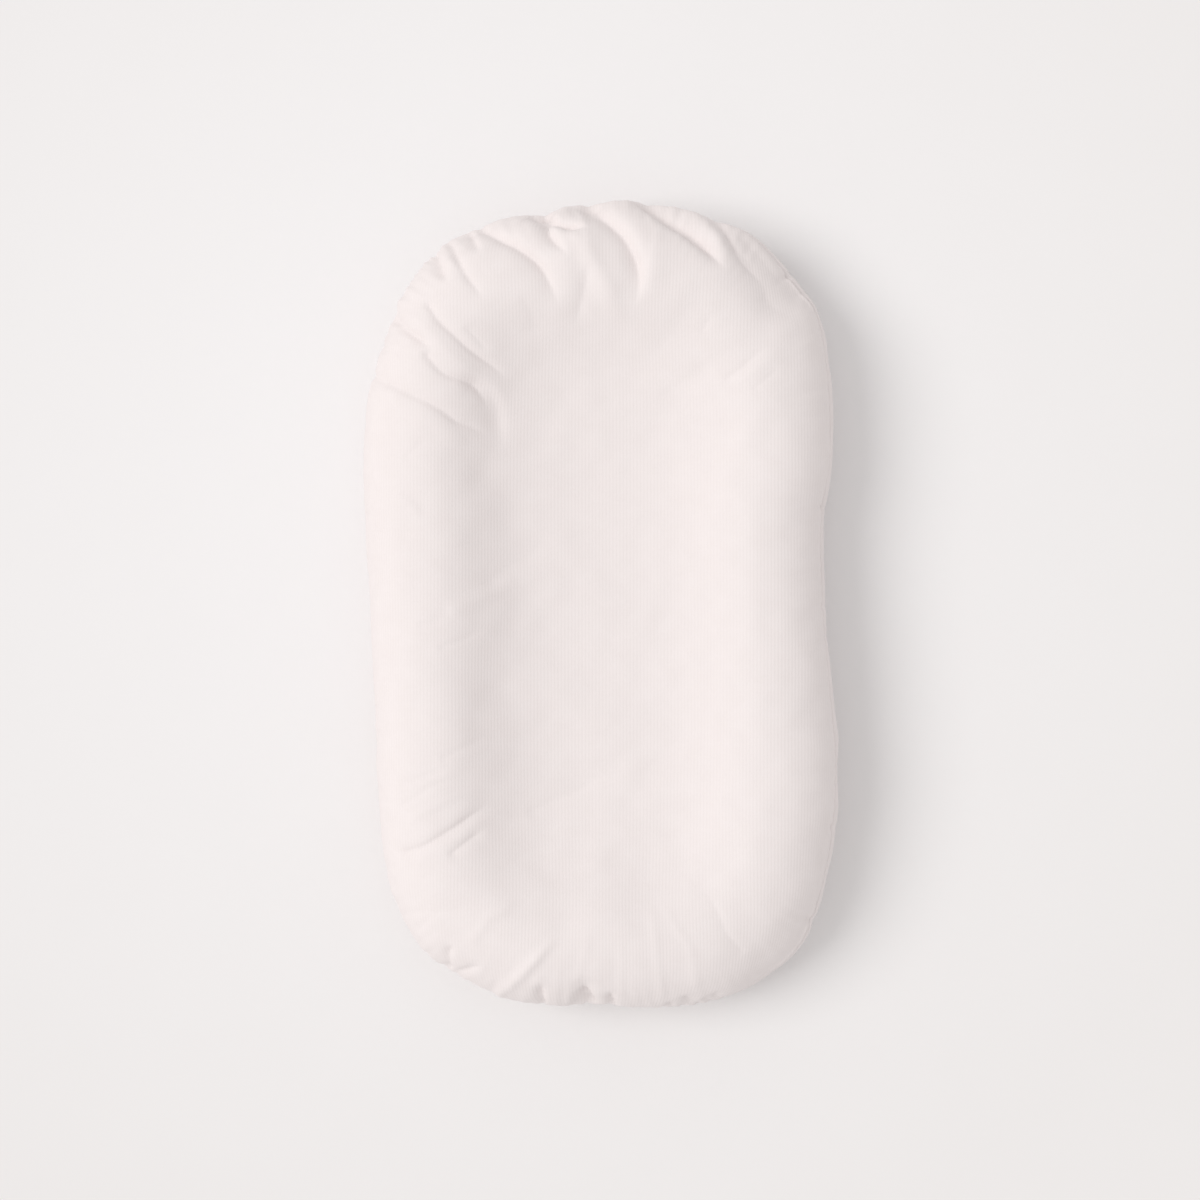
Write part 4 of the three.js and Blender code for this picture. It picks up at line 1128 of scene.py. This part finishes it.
def zip_topstitching():
    """Stitches at even steps along the slot's path: each is a body of revolution along it whose radius is
    the square root of 1 - u^4, with u from nearly -1 to nearly 1 along the stitch."""
    path = slot_path()
    looped = np.vstack([path, path[:1]])
    run = np.concatenate([[0], np.cumsum(np.linalg.norm(np.diff(looped, axis=0), axis=1))])
    at = np.arange(0, run[-1] - TOPSTITCH_PITCH / 2, TOPSTITCH_PITCH)
    centre, before, after = (
        np.stack([np.interp((at + d) % run[-1], run, looped[:, k]) for k in range(3)], axis=-1)
        for d in (0, -TOPSTITCH_PITCH / 4, TOPSTITCH_PITCH / 4)
    )
    ahead = units(after - before)[:, None, None, :]
    u = np.linspace(-0.98, 0.98, STITCH_STEPS)[None, :, None, None]
    angle = 2 * np.pi * np.arange(STITCH_SIDES)[None, None, :, None] / STITCH_SIDES
    girth = TOPSTITCH_RADIUS * np.sqrt(1 - u**4)
    points = centre[:, None, None, :] + u * TOPSTITCH_LENGTH / 2 * ahead
    points = points + girth * (np.cos(angle) * right_of(ahead) + np.sin(angle) * UP)
    offsets = np.arange(len(at)) * STITCH_STEPS * STITCH_SIDES
    first = np.arange(STITCH_SIDES)
    last = first[::-1] + (STITCH_STEPS - 1) * STITCH_SIDES
    faces = (quads_between(STITCH_STEPS, STITCH_SIDES)[None] + offsets[:, None, None]).reshape(-1, 4).tolist()
    faces += np.concatenate([end + offsets[:, None] for end in (first, last)]).tolist()
    return mesh_piece("zip_topstitching", points, faces)


channel = belongs(channel_thread(), "thread", "liner_channel_stitching")
topstitch = belongs(zip_topstitching(), "thread")

# %% [markdown]
# ## The zip
#
# Two woven tapes carry the rows of teeth. A tape is one profile across, with fine cords along its length,
# carried straight from end to end. The teeth, the stops, the slider and its pull are hard and exact in
# the CAD model, so they stay as they are and only get their finishes.

# %% The tapes
TAPE_WIDTH = 15 * MM
TAPE_THICKNESS = 0.6 * MM
TAPE_LENGTH = 372 * MM
TAPE_EDGE = 2 * MM  # from the middle of the zip to a tape
TAPE_HEIGHT = 15.8 * MM
CORD_PITCH = 1.5 * MM
CORD_DEPTH = 0.14  # of the tape's thickness
HEM_POWER = 40  # the higher, the blunter the tape's edges
THINNEST = 0.08 * MM
TAPE_COLUMNS, TAPE_ROWS = 61, 63


def zip_tape(hand):
    """A ribbon along y: half its thickness is a cosine of the place across, and runs out at both edges."""
    side = -1 if hand == "left" else 1
    across = np.linspace(0, 1, TAPE_COLUMNS)
    cords = 1 - CORD_DEPTH + CORD_DEPTH * np.cos(2 * np.pi * across * TAPE_WIDTH / CORD_PITCH)
    half = np.maximum(TAPE_THICKNESS * cords * (1 - (2 * across - 1) ** HEM_POWER), THINNEST) / 2
    out = TAPE_EDGE + across * TAPE_WIDTH
    loop_x = side * np.concatenate([out, out[::-1]])
    loop_z = TAPE_HEIGHT + np.concatenate([half, -half[::-1]])
    along = np.linspace(side * TAPE_LENGTH / 2, -side * TAPE_LENGTH / 2, TAPE_ROWS)
    points = np.stack(np.broadcast_arrays(loop_x[:, None], along[None, :], loop_z[:, None]), axis=-1)
    return bar_piece(f"zip_tape_{hand}_ribbon", points, points[..., :2])


tapes = [belongs(zip_tape(hand), "tape_cloth", f"zip_tape_{hand}") for hand in ("left", "right")]

# %% [markdown]
# ## Ribbed knit
#
# The cover is a fine rib knit. Its ribs are three millimetres apart and run from head to foot, and they
# follow the cloth over the rim, so the pattern reads the cloth map and not the place in space. Each rib
# is a rounded ridge, and along it the stitches lean alternately. All of that is far smaller than the
# mesh, so it is bump.

# %% Shader helpers, and a node group for the rib knit
RIB_PITCH = 3 * MM
STITCH_PITCH = 1.1 * MM
RIB_POWER = 0.7  # under 1, a rib is fuller than a wave
STITCH_SHARE = 0.22  # of a rib's height


def feed(slot, value):
    """Links an input to a socket, or writes a number, a vector or a colour into it."""
    if isinstance(value, bpy.types.NodeSocket):
        slot.id_data.links.new(value, slot)
    else:
        slot.default_value = value


def add(tree, kind, inputs=None, **settings):
    """A new node with its settings, and its inputs fed by name or number. Returns its outputs."""
    node = tree.nodes.new(f"ShaderNode{kind}")
    for name, value in settings.items():
        setattr(node, name, value)
    for name, value in (inputs or {}).items():
        feed(node.inputs[name], value)
    return node.outputs


def maths(tree, operation, *values):
    """A maths node fed with sockets or numbers. Returns its output."""
    return add(tree, "Math", dict(enumerate(values)), operation=operation)[0]


def weighted(tree, start, *parts):
    """A start plus each of the parts, which are a socket and its weight."""
    total = start
    for value, weight in parts:
        total = maths(tree, "MULTIPLY_ADD", value, weight, total)
    return total


def ripple(tree, kind, turns):
    """A sine or cosine wave of a count of turns, brought between 0 and 1."""
    wave = maths(tree, kind, maths(tree, "MULTIPLY", turns, 2 * math.pi))
    return maths(tree, "MULTIPLY_ADD", wave, 0.5, 0.5)


def noise(tree, vector, scale, detail=4.0, distortion=0.0):
    """Noise from 0 to 1 on a vector."""
    inputs = {"Vector": vector, "Scale": scale, "Detail": detail, "Distortion": distortion}
    return add(tree, "TexNoise", inputs)["Fac"]


def node_group(name, numbers, outputs, build):
    """A node group from a vector and numbers with defaults. build gets the tree and the inputs, and
    returns one socket for each output."""
    group = bpy.data.node_groups.new(name, "ShaderNodeTree")
    group.interface.new_socket(name="Vector", in_out="INPUT", socket_type="NodeSocketVector")
    for title, default in numbers.items():
        made = group.interface.new_socket(name=title, in_out="INPUT", socket_type="NodeSocketFloat")
        made.default_value = default
    for title in outputs:
        group.interface.new_socket(name=title, in_out="OUTPUT", socket_type="NodeSocketFloat")
    inside, outside = group.nodes.new("NodeGroupInput"), group.nodes.new("NodeGroupOutput")
    for title, value in zip(outputs, build(group, inside.outputs)):
        feed(outside.inputs[title], value)
    return group


def rib_knit(tree, given):
    """Height is the larger lobe of a cosine across the ribs, with small stitches along them. Groove is 1
    in the valley between two ribs; the cover uses it for painted shade."""
    split = add(tree, "SeparateXYZ", {0: given["Vector"]})
    across = maths(tree, "DIVIDE", split["X"], given["Rib Pitch"])
    along = maths(tree, "DIVIDE", split["Y"], given["Stitch Pitch"])
    lobe = ripple(tree, "COSINE", across)
    lean = maths(tree, "ABSOLUTE", maths(tree, "SINE", maths(tree, "MULTIPLY", across, math.pi)))
    stitch = ripple(tree, "SINE", maths(tree, "ADD", along, lean))
    height = weighted(tree, maths(tree, "POWER", lobe, RIB_POWER), (stitch, STITCH_SHARE))
    return height, maths(tree, "SUBTRACT", 1.0, lobe)


PITCHES = {"Rib Pitch": RIB_PITCH, "Stitch Pitch": STITCH_PITCH}
RIB_KNIT = node_group("rib_knit", PITCHES, ("Height", "Groove"), rib_knit)

# %% The cover's cloth
def principled(name, color, roughness, **more):
    """A material with plain values on its shader. Returns it, its tree and the shader's inputs."""
    material = bpy.data.materials.new(name)
    material.use_nodes = True
    tree = material.node_tree
    shader = tree.nodes["Principled BSDF"].inputs
    values = {"Base Color": (*color, 1), "Roughness": roughness, **more}
    for title, value in values.items():
        shader[title].default_value = value
    return material, tree, shader


def cloth_map(tree):
    """The piece's own cloth map as a vector."""
    return add(tree, "UVMap", uv_map="cloth")["UV"]


def in_object(tree):
    """The place on the piece as a vector."""
    return add(tree, "TexCoord")["Object"]


def add_bump(tree, shader, height, strength, distance):
    """Bump from a height on the shader's normal."""
    bump = add(tree, "Bump", {"Strength": strength, "Distance": distance, "Height": height})
    feed(shader["Normal"], bump["Normal"])


def two_colors(tree, shader, amount, first, second):
    """Base colour between two colours by an amount from 0 to 1."""
    mix = add(tree, "Mix", {0: amount, 6: (*first, 1), 7: (*second, 1)}, data_type="RGBA")
    feed(shader["Base Color"], mix[2])


def ribbed_cover_cloth():
    """Cream rib knit, mottled by the yarn, with painted shade in the grooves and a soft sheen."""
    sheen = {"Specular IOR Level": 0.25, "Sheen Weight": 0.12, "Sheen Roughness": 0.5}
    material, tree, shader = principled("ribbed_cover_cloth", (0.83, 0.775, 0.765), 0.95, **sheen)
    vector = cloth_map(tree)
    knit = add(tree, "Group", {"Vector": vector, **PITCHES}, node_tree=RIB_KNIT)
    mottle = noise(tree, vector, scale=60, detail=6)
    yarn = noise(tree, vector, scale=420, detail=3)
    # The grooves' darker colour is painted shade; the mottle and the yarn are the knit's own uneven tone.
    amount = weighted(tree, -0.15, (knit["Groove"], 0.11), (mottle, 0.26), (yarn, 0.14))
    two_colors(tree, shader, amount, (0.842, 0.786, 0.778), (0.69, 0.62, 0.60))
    height = weighted(tree, knit["Height"], (yarn, 0.5))
    add_bump(tree, shader, height, strength=0.3, distance=0.32 * MM)
    return material


COVER_CLOTH = ribbed_cover_cloth()
for piece in (top, *halves, cover_edges):
    piece.data.materials.append(COVER_CLOTH)

# %% [markdown]
# ## Plain weave, thread and fibre
#
# The liner and the zip's tapes are both plain woven, with threads of different pitch, so the weave is a
# node group with the pitch as an input. Thread is twisted, which shows as slanting stripes. Fibre is
# stretched noise.

# %% Finishes of the liner, the tapes, the threads and the stuffing
def plain_weave(tree, given):
    """Height is the square root of the size of the product of two sines: round bumps where a thread lies on
    top, and gaps between them. Gap is 1 less that."""
    split = add(tree, "SeparateXYZ", {0: given["Vector"]})
    waves = []
    for axis in ("X", "Y"):
        turns = maths(tree, "DIVIDE", split[axis], given["Thread Pitch"])
        waves.append(maths(tree, "SINE", maths(tree, "MULTIPLY", turns, math.pi)))
    height = maths(tree, "SQRT", maths(tree, "ABSOLUTE", maths(tree, "MULTIPLY", *waves)))
    return height, maths(tree, "SUBTRACT", 1.0, height)


LINER_PITCH, TAPE_PITCH = 0.6 * MM, 0.45 * MM
TWIST_PITCH = 0.5 * MM
PLAIN_WEAVE = node_group("plain_weave", {"Thread Pitch": LINER_PITCH}, ("Height", "Gap"), plain_weave)


def woven_cloth(name, pitch, color, gap_shade_color, roughness):
    """Plain woven cloth: painted shade in the gaps between threads, and threads of uneven tone."""
    material, tree, shader = principled(name, color, roughness, **{"Specular IOR Level": 0.25})
    vector = cloth_map(tree)
    weave = add(tree, "Group", {"Vector": vector, "Thread Pitch": pitch}, node_tree=PLAIN_WEAVE)
    slub = noise(tree, vector, scale=90, detail=5)
    # The gaps' darker colour is painted shade; the slubs are the threads' own uneven tone.
    amount = weighted(tree, 0.0, (weave["Gap"], 0.45), (slub, 0.35))
    two_colors(tree, shader, amount, color, gap_shade_color)
    add_bump(tree, shader, weave["Height"], strength=0.4, distance=0.4 * pitch)
    return material


def sewing_thread():
    """Twisted thread: slanting stripes in space, over a noise of fibres."""
    material, tree, shader = principled("sewing_thread", (0.80, 0.745, 0.70), 0.7)
    place = in_object(tree)
    split = add(tree, "SeparateXYZ", {0: place})
    slant = maths(tree, "ADD", maths(tree, "ADD", split["X"], split["Y"]), split["Z"])
    twist = ripple(tree, "SINE", maths(tree, "DIVIDE", slant, TWIST_PITCH))
    fuzz = noise(tree, place, scale=2500, detail=3)
    amount = weighted(tree, 0.0, (twist, 0.4), (fuzz, 0.4))
    two_colors(tree, shader, amount, (0.83, 0.77, 0.72), (0.66, 0.59, 0.54))
    add_bump(tree, shader, twist, strength=0.5, distance=0.08 * MM)
    return material


def fibre_fill():
    """White polyester fibre: warped noise for the strands, and softer noise for the tufts."""
    soft = {"Specular IOR Level": 0.15, "Sheen Weight": 0.2}
    material, tree, shader = principled("fibre_fill", (0.93, 0.93, 0.91), 1.0, **soft)
    place = in_object(tree)
    strands = noise(tree, place, scale=420, detail=8, distortion=3.5)
    tuft = noise(tree, place, scale=55, detail=4, distortion=1.0)
    amount = weighted(tree, 0.0, (tuft, 0.4), (strands, 0.5))
    two_colors(tree, shader, amount, (0.95, 0.95, 0.935), (0.80, 0.80, 0.785))
    add_bump(tree, shader, strands, strength=0.7, distance=0.8 * MM)
    return material


# The second colour of each weave is the painted shade in its gaps.
LINER_WEAVE = woven_cloth("liner_weave", LINER_PITCH, (0.90, 0.88, 0.84), (0.74, 0.715, 0.67), 0.9)
TAPE_WEAVE = woven_cloth("tape_weave", TAPE_PITCH, (0.83, 0.77, 0.72), (0.64, 0.58, 0.53), 0.8)
FINISHES = [
    (LINER_WEAVE, (liner_top, liner_base, liner_edges)),
    (TAPE_WEAVE, tapes),
    (sewing_thread(), (channel, topstitch)),
    (fibre_fill(), (rim, middle)),
]
for material, pieces in FINISHES:
    for piece in pieces:
        piece.data.materials.append(material)

# %% [markdown]
# ## Plastic and metal of the zip
#
# The teeth are moulded plastic and the slider, pull and stops are plated metal that was brushed along the
# zip. Both have a fine grain, so the grain is a group: noise that is drawn out along y by an input.

# %% Finishes of the hard pieces
UNEVENNESS = 0.3  # of the roughness, from the smoothest grain to the roughest


def fine_grain(tree, given):
    """Noise on a vector whose y is divided by Along, so that the grain is drawn out along y."""
    split = add(tree, "SeparateXYZ", {0: given["Vector"]})
    drawn_out = maths(tree, "DIVIDE", split["Y"], given["Along"])
    join = add(tree, "CombineXYZ", {"X": split["X"], "Y": drawn_out, "Z": split["Z"]})
    return (noise(tree, join[0], given["Scale"], detail=5),)


FINE_GRAIN = node_group("fine_grain", {"Along": 1.0, "Scale": 1000.0}, ("Grain",), fine_grain)


def grained(name, color, worn_color, roughness, along, scale, metallic):
    """A hard finish: the grain varies the colour and the roughness and raises a very low bump."""
    material, tree, shader = principled(name, color, roughness, Metallic=metallic)
    inputs = {"Vector": in_object(tree), "Along": along, "Scale": scale}
    amount = add(tree, "Group", inputs, node_tree=FINE_GRAIN)["Grain"]
    two_colors(tree, shader, amount, color, worn_color)
    feed(shader["Roughness"], weighted(tree, roughness - UNEVENNESS / 2, (amount, UNEVENNESS)))
    add_bump(tree, shader, amount, strength=0.15, distance=0.03 * MM)
    return material


TOOTH_PLASTIC = grained("tooth_plastic", (0.85, 0.80, 0.75), (0.78, 0.73, 0.68), 0.42, 1, 1400, 0.0)
ZIP_METAL = grained("brushed_zip_metal", (0.60, 0.59, 0.57), (0.48, 0.47, 0.45), 0.34, 18, 5200, 1.0)
HARD_NODES = {
    TOOTH_PLASTIC: ("zip_teeth_left", "zip_teeth_right"),
    ZIP_METAL: ("zip_top_stop_left", "zip_top_stop_right", "zip_bottom_stop", "zip_slider", "zip_pull"),
}
for material, names in HARD_NODES.items():
    for name in names:
        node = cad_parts[name]
        node.data.materials.clear()
        node.data.materials.append(material)

# %% [markdown]
# ## Floor and light
#
# The floor is plain and pale, and a wide pool of painted light, a lighter tone, lies on it round the object,
# from a spherical gradient, as in a room whose light falls off towards the walls. A large soft lamp stands
# at the left of the object, and the world fills the rest, so that a colour renders about as it is written.

# %% Floor
FLOOR_REACH = 4.0  # metres to each side
# Where the painted pool of light on the floor lies, and how wide it is.
LIGHT_POOL_SHIFT, LIGHT_POOL_SCALE = (0.14, -0.2, 0), (1.25, 1.25, 1.25)  # the pool's radius is 1 over its scale


def pale_floor_painted_pool():
    """A level square with a pale finish: a painted pool of light in the middle, and a faint mottle."""
    corners = np.array([(-1, -1, 0), (1, -1, 0), (1, 1, 0), (-1, 1, 0)]) * FLOOR_REACH
    floor = mesh_piece("floor", corners, [[0, 1, 2, 3]], smooth=False)
    faint = {"Specular IOR Level": 0.1}
    material, tree, shader = principled("pale_floor_painted_pool", (0.84, 0.815, 0.80), 0.9, **faint)
    place = in_object(tree)
    shifted = add(tree, "Mapping", {"Vector": place, "Location": LIGHT_POOL_SHIFT, "Scale": LIGHT_POOL_SCALE})["Vector"]
    # Painted light: the floor is lighter in a wide pool round the object.
    light_pool = add(tree, "TexGradient", {"Vector": shifted}, gradient_type="SPHERICAL")["Fac"]
    amount = weighted(tree, light_pool, (noise(tree, place, scale=14), 0.12))
    two_colors(tree, shader, amount, (0.812, 0.795, 0.79), (0.882, 0.872, 0.877))
    floor.data.materials.append(material)


pale_floor_painted_pool()

# %% Light
WORLD_STRENGTH = 0.736

scene = bpy.context.scene
scene.view_settings.view_transform = "Standard"
world = bpy.data.worlds.new("studio")
scene.world = world
world.use_nodes = True
background = world.node_tree.nodes["Background"].inputs
background["Color"].default_value = (1.0, 0.985, 0.98, 1)
background["Strength"].default_value = WORLD_STRENGTH

KEY_AZIMUTH = 174  # degrees, anticlockwise from +X
KEY_ELEVATION = 49
KEY_SPREAD = 34  # degrees of the sky that the lamp fills
KEY_SHARE = 0.307  # of the light that falls on the floor
KEY_PLACE = (0, 0, 3)  # a distant lamp shines alike from any place


def window_light():
    """A broad distant lamp. A floor is lit by its strength times the sine of its elevation, over pi."""
    data = bpy.data.lights.new("window_light", "SUN")
    data.angle = math.radians(KEY_SPREAD)
    data.energy = KEY_SHARE * math.pi / math.sin(math.radians(KEY_ELEVATION))
    data.color = (1.0, 0.99, 0.98)
    lamp = bpy.data.objects.new("window_light", data)
    lamp.rotation_euler = (0, math.radians(90 - KEY_ELEVATION), math.radians(KEY_AZIMUTH))
    lamp.location = KEY_PLACE
    scene.collection.objects.link(lamp)


window_light()
